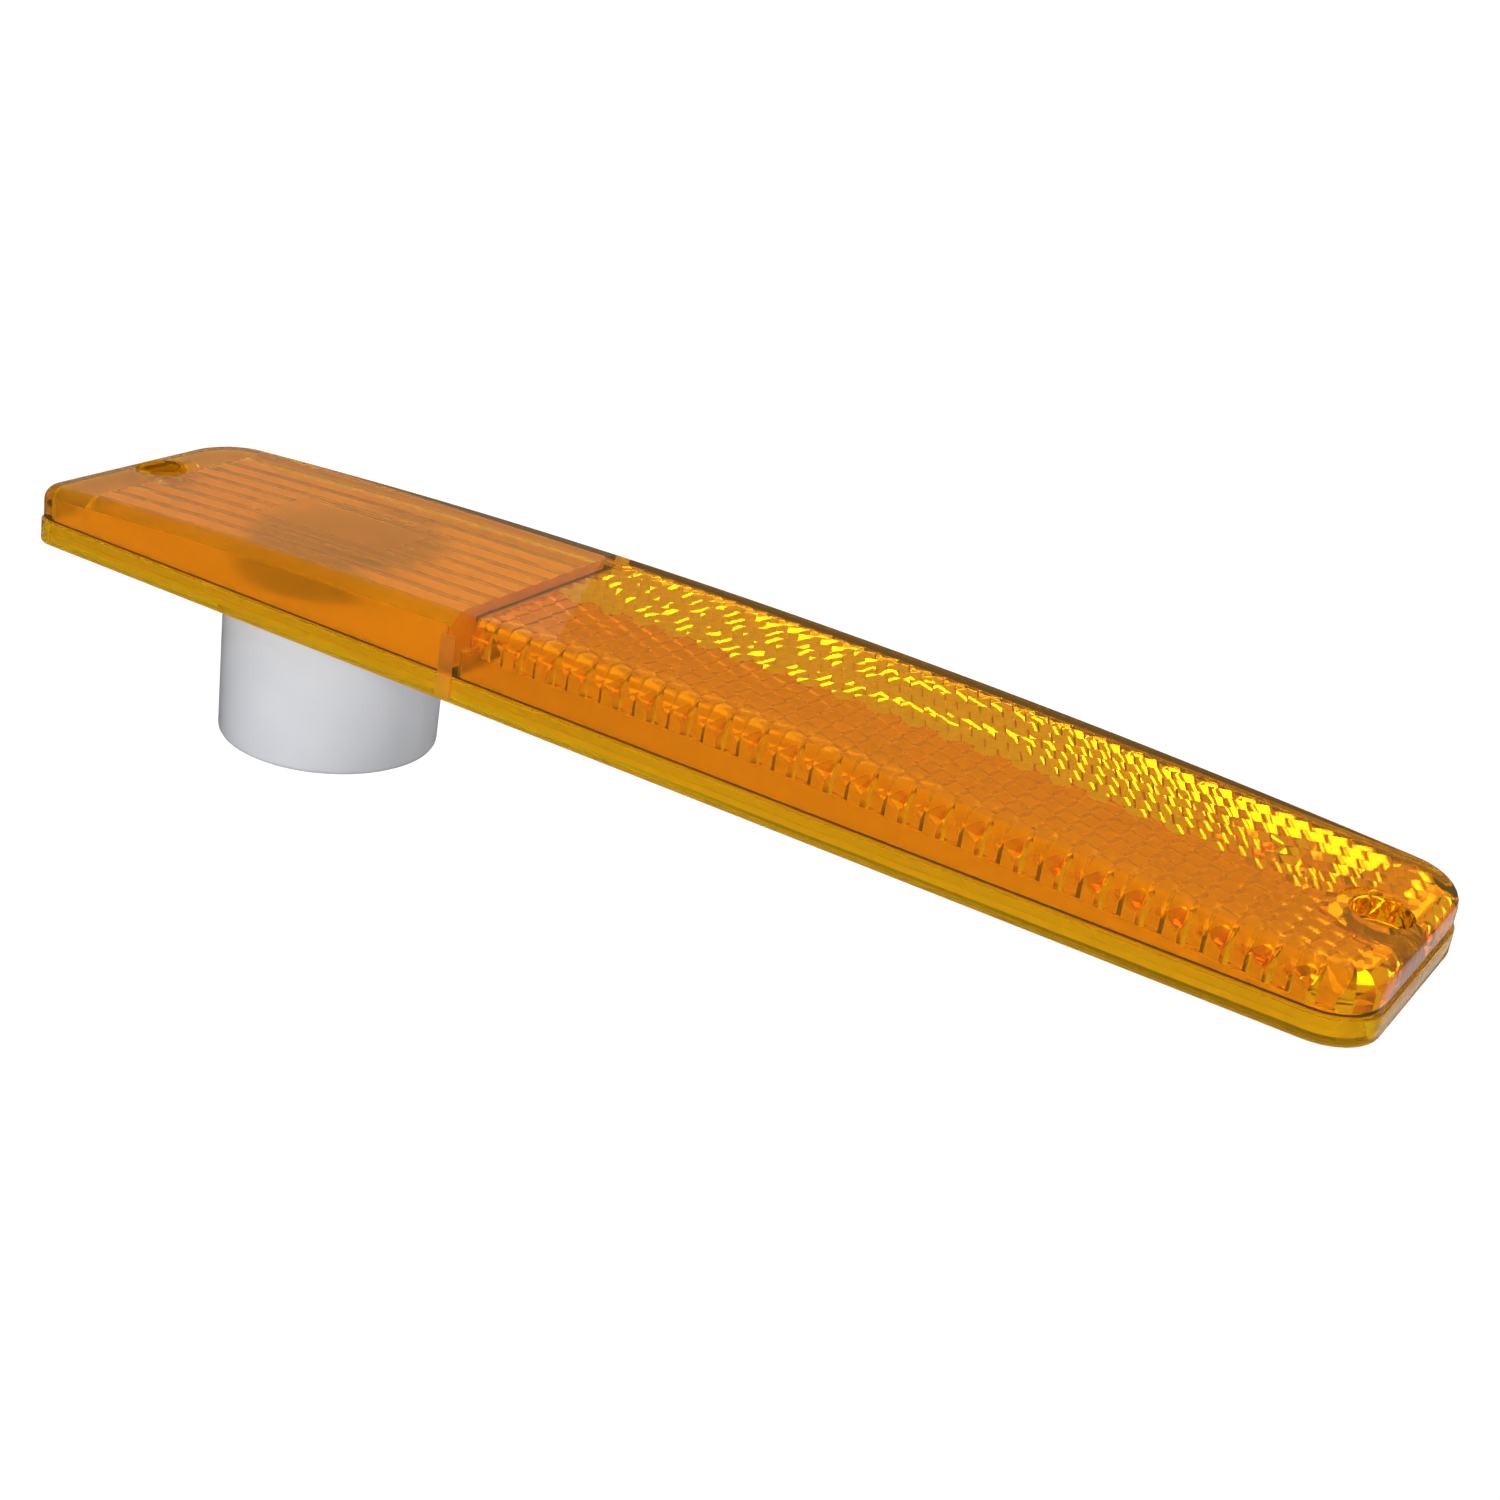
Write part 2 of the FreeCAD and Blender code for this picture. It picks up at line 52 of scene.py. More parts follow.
# -------------------- sizes, in millimetres
LENGTH, WIDTH = 241.0, 48.0
CROWN_TOP, CROWN_RADIUS = 14.5, 1580.0
EDGE_ROUND, LIP_ROUND, SKIRT_EASE = 2.6, 0.35, 0.18
SKIRT_TOP, SKIRT_STEP, SKIRT_WALL, SIDE_WALL = 4.0, 0.4, 1.6, 2.6
FACE_WALL = 2.8
ROOM_INSET = SKIRT_STEP + SIDE_WALL
CORNERS = {(-1, -1): 4.5, (1, -1): 8.0, (1, 1): 9.0, (-1, 1): 10.0}
PARTITION_X, PARTITION_WALL, ROOM_CORNER = -30.0, 2.4, 1.2
ROOM_LOW, ROOM_HIGH = 1.0, 30.0
SCREW_X, SCREW_HOLE, SCREW_RECESS, RECESS_FLOOR, BOSS = 113.5, 2.4, 4.5, 7.0, 5.5
MOUTH_EASE, MOUTH_FLARE = 0.45, 1.5
FLUTES, FLUTE_PITCH, FLUTE_RISE, FLUTE_RADIUS = 9, 4.65, 0.7, 4.0
FLUTE_START, FLUTE_STEPS = -SCREW_X + 4, 12
PAD_X, PAD_LENGTH, PAD_WIDTH, PAD_Z = -71.5, 28.0, 13.0, 9.0
# Spacing of the lamp room's height grid, and half the width of a step in it.
GRID, STEP_SLOPE = 4, 0.05
# Corner cubes: hexagonal cells CELL across, each three faces meeting at an apex below.
CELL = 3.56
CELL_CORNER = CELL / math.sqrt(3)
CELL_COLUMN = 1.5 * CELL_CORNER
CELL_STEP = CELL / math.sqrt(6)
LATTICE = (57.8, -3.1)
LATTICE_COLUMNS, LATTICE_ROWS = range(-31, 24), range(-8, 9)
LATTICE_START, LATTICE_END, LATTICE_SIDE = -34, 126, 29
# A cube's low corners, odd (1) or even (0) ones, below the seam; above it they swap.
SEAM_Y, NEAR_TURN = 0.0, 1
CELL_BASE = 2.9
BLANK_DEPTH = CELL_BASE + 2 * CELL_STEP + 0.25
# How far the cubes keep off the walls and the boss, and by how much their apexes stray.
PARTITION_CLEAR, END_CLEAR, BOSS_CLEAR, NEAR_CLEAR, FAR_OVERLAP = 1.0, 1.5, 2.6, 1.0, 1.2
CELL_SHIFT, UNEVEN_SHIFT, UNEVEN_SPOT, UNEVEN_RADIUS = 0.0008, 0.3, (97.0, 9.0), 6.0
# Where cutters start and end, and a spacing that leaves a straight side undivided.
FLOOR = -3.0
THROUGH_LOW, THROUGH_HIGH = -5.0, 9.0
WHOLE_SIDES = 50.0


def crown(x):
    """Height of the outer face over the mounting plane."""
    return CROWN_TOP - CROWN_RADIUS + math.sqrt(CROWN_RADIUS**2 - x * x)


# -------------------- mesh helpers
def add_object(name, data):
    item = bpy.data.objects.new(name, data)
    bpy.context.scene.collection.objects.link(item)
    return item


def mesh_object(name, vertices, faces):
    mesh = bpy.data.meshes.new(name)
    mesh.from_pydata([Vector(v) * MM for v in vertices], [], faces)
    bm = bmesh.new()
    bm.from_mesh(mesh)
    bmesh.ops.remove_doubles(bm, verts=bm.verts, dist=1e-7)
    bmesh.ops.recalc_face_normals(bm, faces=bm.faces)
    bm.to_mesh(mesh)
    bm.free()
    return add_object(name, mesh)


def boolean(item, operation, *tools):
    """Apply a boolean with each tool, then remove the tools."""
    for tool in tools:
        modifier = item.modifiers.new("boolean", "BOOLEAN")
        modifier.operation = operation
        modifier.object = tool
        modifier.solver = "MANIFOLD"
        settle(item)
        bpy.data.objects.remove(tool)
    return item


def settle(item):
    """Put the result of the modifiers into the mesh."""
    graph = bpy.context.evaluated_depsgraph_get()
    mesh = bpy.data.meshes.new_from_object(item.evaluated_get(graph))
    item.modifiers.clear()
    old = item.data
    item.data = mesh
    bpy.data.meshes.remove(old)


def smooth(item, angle=28):
    item.data.polygons.foreach_set("use_smooth", [True] * len(item.data.polygons))
    item.data.set_sharp_from_angle(angle=math.radians(angle))


def arc(centre, radius, start, end, steps):
    points = []
    for i in range(steps + 1):
        t = math.radians(start + (end - start) * i / steps)
        points.append((centre[0] + radius * math.cos(t), centre[1] + radius * math.sin(t)))
    return points


def outline(left, right, half_width, radii, steps=10, spacing=4.0):
    """Counter-clockwise rounded rectangle; straight sides are divided into short lengths."""
    points = []
    turns = (((-1, -1), 180), ((1, -1), 270), ((1, 1), 0), ((-1, 1), 90))
    for (side_x, side_y), start in turns:
        radius = radii[(side_x, side_y)]
        x = (right - radius) if side_x > 0 else (left + radius)
        points.append(arc((x, side_y * (half_width - radius)), radius, start, start + 90, steps))
    ring = []
    for corner, following in zip(points, points[1:] + points[:1]):
        ring += corner
        a, b = corner[-1], following[0]
        count = max(1, round(math.dist(a, b) / spacing))
        for i in range(1, count):
            ring.append((a[0] + (b[0] - a[0]) * i / count, a[1] + (b[1] - a[1]) * i / count))
    return ring


def lens_ring(inset):
    """The lens's outline moved inward; every inset has the same number of points."""
    ring = []
    for x, y in outline(-LENGTH / 2, LENGTH / 2, WIDTH / 2, CORNERS):
        side = (1 if x > 0 else -1, 1 if y > 0 else -1)
        radius = CORNERS[side]
        cx, cy = side[0] * (LENGTH / 2 - radius), side[1] * (WIDTH / 2 - radius)
        in_x, in_y = (x - cx) * side[0] > -1e-9, (y - cy) * side[1] > -1e-9
        if in_x and in_y:
            scale = (radius - inset) / radius
            ring.append((cx + (x - cx) * scale, cy + (y - cy) * scale))
        elif in_x:
            ring.append((x - side[0] * inset, y))
        else:
            ring.append((x, y - side[1] * inset))
    return ring


def inside(point, ring):
    x, y = point
    hit = False
    for (x0, y0), (x1, y1) in zip(ring, ring[1:] + ring[:1]):
        if (y0 > y) != (y1 > y) and x < (x1 - x0) * (y - y0) / (y1 - y0) + x0:
            hit = not hit
    return hit


def skin(rows, columns, closed=False):
    """Faces between rows of vertices; each row is a ring, and the rows may close up too."""
    faces = []
    for row in range(rows if closed else rows - 1):
        low, high = row * columns, (row + 1) % rows * columns
        for i in range(columns):
            n = (i + 1) % columns
            faces.append((low + i, low + n, high + n, high + i))
    return faces


def ends(rows, columns):
    """The faces that close the first and the last row."""
    return [tuple(range(columns)), tuple(range((rows - 1) * columns, rows * columns))]


def loft(name, rings, cap_top, cap_bottom):
    """Join rings of equal length; a cap is a height over x, or None for one flat face."""
    count = len(rings[0])
    vertices = [v for ring in rings for v in ring]
    faces = skin(len(rings), count)
    for ring_index, height in ((0, cap_bottom), (len(rings) - 1, cap_top)):
        plan = [(x, y) for x, y, _ in rings[ring_index]]
        if height is None:
            faces.append(tuple(ring_index * count + i for i in range(count)))
            continue
        low_x, high_x = min(p[0] for p in plan), max(p[0] for p in plan)
        low_y, high_y = min(p[1] for p in plan), max(p[1] for p in plan)
        step, margin = 4.0, 0.45
        grid = [
            (low_x + step * (i + 0.5), low_y + step * (j + 0.5))
            for i in range(int((high_x - low_x) / step))
            for j in range(int((high_y - low_y) / step))
        ]
        clear = [
            p
            for p in grid
            if inside(p, plan) and min(math.dist(p, q) for q in plan) > margin * step
        ]
        points = [Vector(p) for p in plan + clear]
        found = delaunay_2d_cdt(points, [], [list(range(count))], 1, 1e-6)
        start = len(vertices)
        for i, p in enumerate(found[0]):
            original = [k for k in found[3][i] if k < count]
            z = rings[ring_index][original[0]][2] if original else height(p.x)
            vertices.append((p.x, p.y, z))
        faces += [tuple(start + k for k in face) for face in found[2]]
    return mesh_object(name, vertices, faces)


def prism(name, ring, low, high):
    return loft(name, [[(x, y, low) for x, y in ring], [(x, y, high) for x, y in ring]], None, None)


def revolve(name, profile, x, steps=64):
    """A closed solid of revolution about an upright axis, with a flat face at each end."""
    vertices = []
    for radius, z in profile:
        for k in range(steps):
            angle = 2 * math.pi * k / steps
            around = Vector((radius * math.cos(angle), radius * math.sin(angle), z))
            vertices.append(around + Vector((x, 0, 0)))
    rows = len(profile)
    return mesh_object(name, vertices, skin(rows, steps) + ends(rows, steps))


def drill(name, radius, low, high, x, steps=64):
    """A plain round cutter."""
    return revolve(name, [(radius, low), (radius, high)], x, steps)


# -------------------- lens
def lens_outside():
    """The lens without its cavity: eased lip, skirt, step and rounded, crowned face."""
    lip, ease = LIP_ROUND, SKIRT_EASE
    rings = []

    def add(inset, height):
        """A ring at a height, which is a number or a function of x."""
        level = height if callable(height) else lambda x: height
        rings.append([(x, y, level(x)) for x, y in lens_ring(inset)])

    for turn in (0, 30, 60, 90):
        t = math.radians(turn)
        add(lip * (1 - math.sin(t)), lip * (1 - math.cos(t)))
    for turn in (0, 45, 90):
        t = math.radians(turn)
        add(ease * (1 - math.cos(t)), SKIRT_TOP - ease * (1 - math.sin(t)))
    add(SKIRT_STEP - 0.1, SKIRT_TOP)
    add(SKIRT_STEP, SKIRT_TOP + 0.12)
    for turn in range(0, 91, 9):
        t = math.radians(turn)
        drop = EDGE_ROUND * (1 - math.sin(t))
        add(SKIRT_STEP + EDGE_ROUND * (1 - math.cos(t)), lambda x, d=drop: crown(x) - d)
    return loft("lens", rings, crown, None)


def field_block(name, xs, ys, height):
    """A closed block below a height function sampled on a grid."""
    nx, ny = len(xs), len(ys)
    vertices = [(x, y, height(x, y)) for x in xs for y in ys]
    base = len(vertices)
    vertices += [(x, y, FLOOR) for x in xs for y in ys]
    faces = []
    for i in range(nx - 1):
        for j in range(ny - 1):
            a, b, c, d = i * ny + j, (i + 1) * ny + j, (i + 1) * ny + j + 1, i * ny + j + 1
            faces += [(a, b, c, d), (base + d, base + c, base + b, base + a)]
    rim = [(i, 0) for i in range(nx)] + [(nx - 1, j) for j in range(1, ny)]
    rim += [(i, ny - 1) for i in range(nx - 2, -1, -1)] + [(0, j) for j in range(ny - 2, 0, -1)]
    for (i, j), (k, m) in zip(rim, rim[1:] + rim[:1]):
        a, b = i * ny + j, k * ny + m
        faces.append((a, b, base + b, base + a))
    return mesh_object(name, vertices, faces)


def fluted(x, y):
    """Underside of the face over the lamp room."""
    if abs(x - PAD_X) < PAD_LENGTH / 2 and abs(y) < PAD_WIDTH / 2:
        return PAD_Z
    z = crown(x) - FACE_WALL
    off = (y / FLUTE_PITCH + 0.5) % 1.0 - 0.5
    if abs(y) < FLUTE_PITCH * FLUTES / 2 and x > FLUTE_START:
        bulge = FLUTE_RADIUS - FLUTE_RISE
        drop = math.sqrt(FLUTE_RADIUS**2 - (off * FLUTE_PITCH) ** 2) - bulge
        z -= max(0.0, drop)
    return z


def room(block, left, right, partition_side):
    """Cut a block to a room's walls, which meet the partition in tight corners."""
    radii = {
        side: ROOM_CORNER if side[0] == partition_side else radius - ROOM_INSET
        for side, radius in CORNERS.items()
    }
    ring = outline(left, right, WIDTH / 2 - ROOM_INSET, radii)
    return boolean(block, "INTERSECT", prism("walls", ring, ROOM_LOW, ROOM_HIGH))


def lamp_room():
    """Cavity of the bulb window: its top is the fluted underside of the face."""
    start, columns, reach = -124, 25, 26
    xs = [start + GRID * i for i in range(columns)]
    for edge in (PAD_X - PAD_LENGTH / 2, PAD_X + PAD_LENGTH / 2, FLUTE_START):
        xs += [edge - STEP_SLOPE, edge + STEP_SLOPE]
    low = -FLUTE_PITCH * FLUTES / 2
    ys = [low + FLUTE_PITCH * i / FLUTE_STEPS for i in range(FLUTES * FLUTE_STEPS + 1)]
    ys = [-reach] + ys + [reach]
    for edge in (-PAD_WIDTH / 2, PAD_WIDTH / 2):
        ys += [edge - STEP_SLOPE, edge + STEP_SLOPE]
    block = field_block("lamp_room", sorted(xs), sorted(ys), fluted)
    return room(block, -LENGTH / 2 + ROOM_INSET, PARTITION_X - PARTITION_WALL / 2, 1)


def reflex_cells():
    """Centres of the hexagonal lattice of corner cubes, in plan."""
    cells = []
    for i in LATTICE_COLUMNS:
        for j in LATTICE_ROWS:
            x = LATTICE[0] + i * CELL_COLUMN
            y = LATTICE[1] + (j + 0.5 * (i % 2)) * CELL
            if LATTICE_START < x < LATTICE_END and abs(y) < LATTICE_SIDE:
                cells.append((x, y))
    return cells


def is_cube(x, y):
    """Whether a cell is clear enough of the walls and the screw boss to be a corner cube."""
    half = WIDTH / 2 - ROOM_INSET
    left = PARTITION_X + PARTITION_WALL / 2 + PARTITION_CLEAR
    if not (left < x < LENGTH / 2 - ROOM_INSET - END_CLEAR):
        return False
    if math.dist((x, y), (SCREW_X, 0)) < BOSS + BOSS_CLEAR:
        return False
    return -half + NEAR_CLEAR < y < half + FAR_OVERLAP


def reflex_room():
    """Cavity under the reflector: its top is the array of corner cubes, apex down."""
    rng = random.Random(7)
    index, vertices, faces = {}, [], []

    def vertex(x, y, z):
        key = (round(x, 3), round(y, 3), round(z, 5))
        if key not in index:
            index[key] = len(vertices)
            vertices.append(key)
        return index[key]

    edges, levels, tops = {}, {}, []
    for x, y in reflex_cells():
        corners = [
            (round(x + CELL_CORNER * math.cos(t), 3), round(y + CELL_CORNER * math.sin(t), 3))
            for t in (math.radians(60 * k) for k in range(6))
        ]
        if is_cube(x, y):
            first = NEAR_TURN if y < SEAM_Y else 1 - NEAR_TURN
            apex = crown(x) - CELL_BASE - 2 * CELL_STEP
            heights = [apex + CELL_STEP * (1 if k % 2 == first else 2) for k in range(6)]
            uneven = math.dist((x, y), UNEVEN_SPOT) < UNEVEN_RADIUS
            loose = UNEVEN_SHIFT if uneven else CELL_SHIFT
            shift = (rng.gauss(0, loose), rng.gauss(0, loose), rng.gauss(0, loose / 2))
            middle = (x + shift[0], y + shift[1], apex + shift[2])
        else:
            heights, middle = [crown(x) - BLANK_DEPTH] * 6, None
        heights = [round(z, 5) for z in heights]
        tops.append((corners, heights, middle))
        for k in range(6):
            levels.setdefault(corners[k], set()).add(heights[k])
            n = (k + 1) % 6
            p, q = corners[k], corners[n]
            sides = (heights[k], heights[n]) if p < q else (heights[n], heights[k])
            edges.setdefault((min(p, q), max(p, q)), []).append(sides)

    rim, crossings = {}, {}
    for (p, q), sides in edges.items():
        if len(sides) == 1:
            sides.append((FLOOR, FLOOR))
            rim.setdefault(p, []).append(q)
            rim.setdefault(q, []).append(p)
            levels[p].add(FLOOR)
            levels[q].add(FLOOR)
        (p1, q1), (p2, q2) = sides
        if (p1 - p2) * (q1 - q2) < 0:
            share = (p1 - p2) / ((p1 - p2) - (q1 - q2))
            meet = [p[i] + (q[i] - p[i]) * share for i in range(2)]
            crossings[(p, q)] = vertex(*meet, p1 + (q1 - p1) * share)
    for corners, heights, middle in tops:
        if middle is None:
            faces.append(tuple(vertex(*corner, z) for corner, z in zip(corners, heights)))
            continue
        vertices.append(middle)
        centre = len(vertices) - 1
        for k in range(6):
            n = (k + 1) % 6
            p, q = corners[k], corners[n]
            cross = crossings.get((min(p, q), max(p, q)))
            between = [] if cross is None else [cross]
            faces.append((centre, vertex(*p, heights[k]), *between, vertex(*q, heights[n])))

    def run(at, start, end):
        """Vertices up or down a corner's upright line, through every level between."""
        low, high = min(start, end), max(start, end)
        between = sorted(z for z in levels[at] if low <= z <= high)
        return [vertex(*at, z) for z in (between if start <= end else reversed(between))]

    for (p, q), sides in edges.items():
        (p1, q1), (p2, q2) = sides
        if p1 == p2 and q1 == q2:
            continue
        if (p, q) in crossings:
            faces.append((*run(p, p1, p2), crossings[(p, q)]))
            faces.append((crossings[(p, q)], *run(q, q2, q1)))
        else:
            faces.append((*run(p, p1, p2), *run(q, q2, q1)))
    start = min(rim)
    loop, before, at = [start], None, start
    while True:
        step = [q for q in rim[at] if q != before][0]
        if step == start:
            break
        loop.append(step)
        before, at = at, step
    faces.append(tuple(vertex(*p, FLOOR) for p in loop))
    block = mesh_object("reflex_room", vertices, faces)
    return room(block, PARTITION_X + PARTITION_WALL / 2, LENGTH / 2 - ROOM_INSET, -1)


def screw_cutter(side):
    """Screw hole with a counterbore whose mouth is eased into the sloping face."""
    x = side * SCREW_X
    top = crown(x)
    ease = MOUTH_EASE
    profile = [(SCREW_HOLE, -2.0), (SCREW_HOLE, RECESS_FLOOR - 0.2)]
    profile += [(SCREW_HOLE + 0.2, RECESS_FLOOR), (SCREW_RECESS - 0.3, RECESS_FLOOR)]
    profile.append((SCREW_RECESS, RECESS_FLOOR + 0.3))
    for turn in range(0, 91, 15):
        t = math.radians(turn)
        profile.append((SCREW_RECESS + ease * (1 - math.cos(t)), top - ease * (1 - math.sin(t))))
    profile.append((SCREW_RECESS + ease + MOUTH_FLARE, top + 0.05))
    profile.append((SCREW_RECESS + ease + MOUTH_FLARE, top + 4))
    return revolve("screw_cutter", profile, x)


def build_lens():
    cavity = boolean(lamp_room(), "UNION", reflex_room())
    recess = outline(
        -LENGTH / 2 + SKIRT_WALL,
        LENGTH / 2 - SKIRT_WALL,
        WIDTH / 2 - SKIRT_WALL,
        {side: radius - SKIRT_WALL for side, radius in CORNERS.items()},
    )
    boolean(cavity, "UNION", prism("skirt_recess", recess, -2.0, SKIRT_TOP))
    for side in (-1, 1):
        boss = drill("boss", BOSS, THROUGH_LOW, ROOM_HIGH, side * SCREW_X)
        boolean(cavity, "DIFFERENCE", boss)
    lens = boolean(lens_outside(), "DIFFERENCE", cavity)
    boolean(lens, "DIFFERENCE", screw_cutter(-1), screw_cutter(1))
    smooth(lens)
    lens.name = "lens_moulding"
    return lens


# -------------------- more mesh helpers
BAR_CORNER = 0.35


def bar(name, centre, size, ease, draft=0.0):
    """An eased block: centre and size in millimetres; draft narrows its foot on each side."""
    half_x, half_y, half_z = (v / 2 for v in size)
    rings = []
    for level in (-1, 1):
        for turn in ((0, 30, 60, 90) if level < 0 else (90, 60, 30, 0)):
            t = math.radians(turn)
            inset = ease * (1 - math.sin(t)) + (draft if level < 0 else 0.0)
            z = centre[2] + level * (half_z - ease * (1 - math.cos(t)))
            corner = min(half_x, half_y) * BAR_CORNER
            radii = {side: corner for side in CORNERS}
            plan = outline(
                -half_x + inset, half_x - inset, half_y - inset, radii, steps=4, spacing=WHOLE_SIDES
            )
            rings.append([(centre[0] + x, centre[1] + y, z) for x, y in plan])
    return loft(name, rings, None, None)


def tube(name, path, radius, sides):
    """A round wire along a path of points in millimetres."""
    points = [Vector(p) for p in path]
    count = len(points)
    vertices, normal = [], None
    for i, point in enumerate(points):
        along = (points[min(i + 1, count - 1)] - points[max(i - 1, 0)]).normalized()
        if normal is None:
            normal = along.orthogonal().normalized()
        normal = (normal - along * normal.dot(along)).normalized()
        side = along.cross(normal)
        for k in range(sides):
            angle = 2 * math.pi * k / sides
            vertices.append(point + (normal * math.cos(angle) + side * math.sin(angle)) * radius)
    return mesh_object(name, vertices, skin(count, sides) + ends(count, sides))


def ring_of(name, profile, x, steps=96):
    """A closed solid of revolution whose profile is itself a closed loop round the axis."""
    vertices = []
    for k in range(steps):
        angle = 2 * math.pi * k / steps
        vertices += [
            (x + radius * math.cos(angle), radius * math.sin(angle), z) for radius, z in profile
        ]
    return mesh_object(name, vertices, skin(steps, len(profile), closed=True))


def rounded_loop(corners, steps=4):
    """A closed profile with each corner rounded by its own radius: (radius, z, round)."""
    loop = []
    for i, (x, z, size) in enumerate(corners):
        here = Vector((x, z))
        before = Vector(corners[i - 1][:2])
        after = Vector(corners[(i + 1) % len(corners)][:2])
        if size <= 0:
            loop.append((x, z))
            continue
        start = here + (before - here).normalized() * size
        end = here + (after - here).normalized() * size
        for k in range(steps + 1):
            t = k / steps
            point = start * (1 - t) ** 2 + here * 2 * t * (1 - t) + end * t * t
            loop.append((point.x, point.y))
    return loop


def place(item, body, slot_name, material, *nodes):
    """Give a piece its material, the CAD nodes it replaces and its body; its slot name is not used.
    """
    item.data.materials.clear()
    item.data.materials.append(material)
    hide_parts(*nodes)
    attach(item, body)
    return item


# -------------------- housing
POT_X, POT_FOOT, POT_ROOT, POT_DEPTH, POT_WALL = -71.5, 19.0, 19.4, 26.4, 2.2
SEAT_TOP, SEAT_WALL, SEAT_HOLE = -16.2, 2.0, 11.1
PLATE_TOP, PLATE_WALL, PLATE_GAP = 4.0, 2.0, 0.15
RIB_WALL, RIB_HEIGHT, RIB_PITCH, RIBS, RIB_MARGIN = 1.6, 1.2, 30.0, 4, 16
LONG_RIB_X, LONG_RIB_LENGTH, RIB_EASE, RIB_DRAFT = 11.0, 112.0, 0.25, 0.15
FILLET, PLATE_EASE = 1.2, 0.1
LUG_REACH, LUG_WIDTH, LUG_LENGTH, LUG_HEIGHT, LUG_LIFT, SLOT_GAP = 12.6, 5.0, 4.0, 2.0, 0.35, 0.5
LOCK_TURN, STOP_TURN, STOP_PAST, STOP_SIZE = 45.0, 19.8, 0.5, (2.2, 1.8, 2.2)
THIRDS = (0, 120, 240)


def turned_about_pot(item, degrees):
    """Turn an object built on the +X side of the pot's axis about that axis."""
    centre = Vector((POT_X, 0, 0)) * MM
    turn = Matrix.Rotation(math.radians(degrees), 4, "Z")
    item.data.transform(Matrix.Translation(centre) @ turn @ Matrix.Translation(-centre))
    return item


def build_housing():
    """Back plate with ribs, and the bulb drum with its keyed seat and stops."""
    inset = SKIRT_WALL + PLATE_GAP
    low, high = PLATE_TOP - PLATE_WALL, PLATE_TOP
    rings = []
    for z, level in ((low, -1), (high, 1)):
        for turn in ((0, 45, 90) if level < 0 else (90, 45, 0)):
            t = math.radians(turn)
            extra, lift = PLATE_EASE * (1 - math.sin(t)), PLATE_EASE * (1 - math.cos(t))
            rings.append([(x, y, z - level * lift) for x, y in lens_ring(inset + extra)])
    housing = loft("housing_moulding", rings, None, None)
    rib_z = low - RIB_HEIGHT / 2 + 0.1
    starts = [PARTITION_X + RIB_PITCH * (i + 0.5) + RIB_WALL / 2 for i in range(RIBS)]
    ribs = [(x, RIB_WALL, WIDTH - RIB_MARGIN) for x in starts]
    ribs.append((LONG_RIB_X, LONG_RIB_LENGTH, RIB_WALL))
    for x, length, width in ribs:
        size = (length, width, RIB_HEIGHT + 0.2)
        boolean(housing, "UNION", bar("rib", (x, 0, rib_z), size, RIB_EASE, RIB_DRAFT))
    wall = POT_FOOT - POT_WALL
    boolean(housing, "DIFFERENCE", drill("opening", wall, -4.0, 10.0, POT_X, steps=96))
    profile = [
        (SEAT_HOLE, SEAT_TOP, 0.3),
        (wall, SEAT_TOP, 0.8),
        (wall, high, 0.3),
        (POT_ROOT + 1.4, high, 0.0),
        (POT_ROOT + 1.4, low, 0.0),
        (POT_ROOT, low, 0.0),
        (POT_ROOT, low - 0.05, 0.0),
        (POT_FOOT, -POT_DEPTH, 0.9),
        (wall, -POT_DEPTH, 0.5),
        (wall, SEAT_TOP - SEAT_WALL, 0.5),
        (SEAT_HOLE, SEAT_TOP - SEAT_WALL, 0.3),
    ]
    boolean(housing, "UNION", ring_of("drum", rounded_loop(profile), POT_X))
    fillet = [(POT_ROOT - 0.5, low + 0.3)]
    for turn in range(90, -1, -15):
        t = math.radians(turn)
        fillet.append((POT_ROOT + FILLET * (1 - math.cos(t)), low - FILLET + FILLET * math.sin(t)))
    fillet.append((POT_ROOT - 0.5, low - FILLET))
    boolean(housing, "UNION", ring_of("drum_fillet", fillet, POT_X))
    for third in THIRDS:
        slot_centre = (POT_X + LUG_REACH + SLOT_GAP - LUG_LENGTH / 2, 0, SEAT_TOP - SEAT_WALL / 2)
        slot_size = (LUG_LENGTH, LUG_WIDTH + 2 * SLOT_GAP, SEAT_WALL + 1)
        key = bar("key_slot", slot_centre, slot_size, 0.05)
        boolean(housing, "DIFFERENCE", turned_about_pot(key, third - LOCK_TURN))
        for turn in (STOP_TURN, -LOCK_TURN - STOP_TURN):
            stop_centre = (POT_X + LUG_REACH + STOP_PAST, 0, SEAT_TOP + 0.9)
            stop = bar("stop", stop_centre, STOP_SIZE, 0.2, -0.1)
            boolean(housing, "UNION", turned_about_pot(stop, third + turn))
    for side in (-1, 1):
        reach = BOSS + PLATE_GAP
        clearance = drill("clearance", reach, THROUGH_LOW, THROUGH_HIGH, side * SCREW_X)
        boolean(housing, "DIFFERENCE", clearance)
    smooth(housing)
    return housing


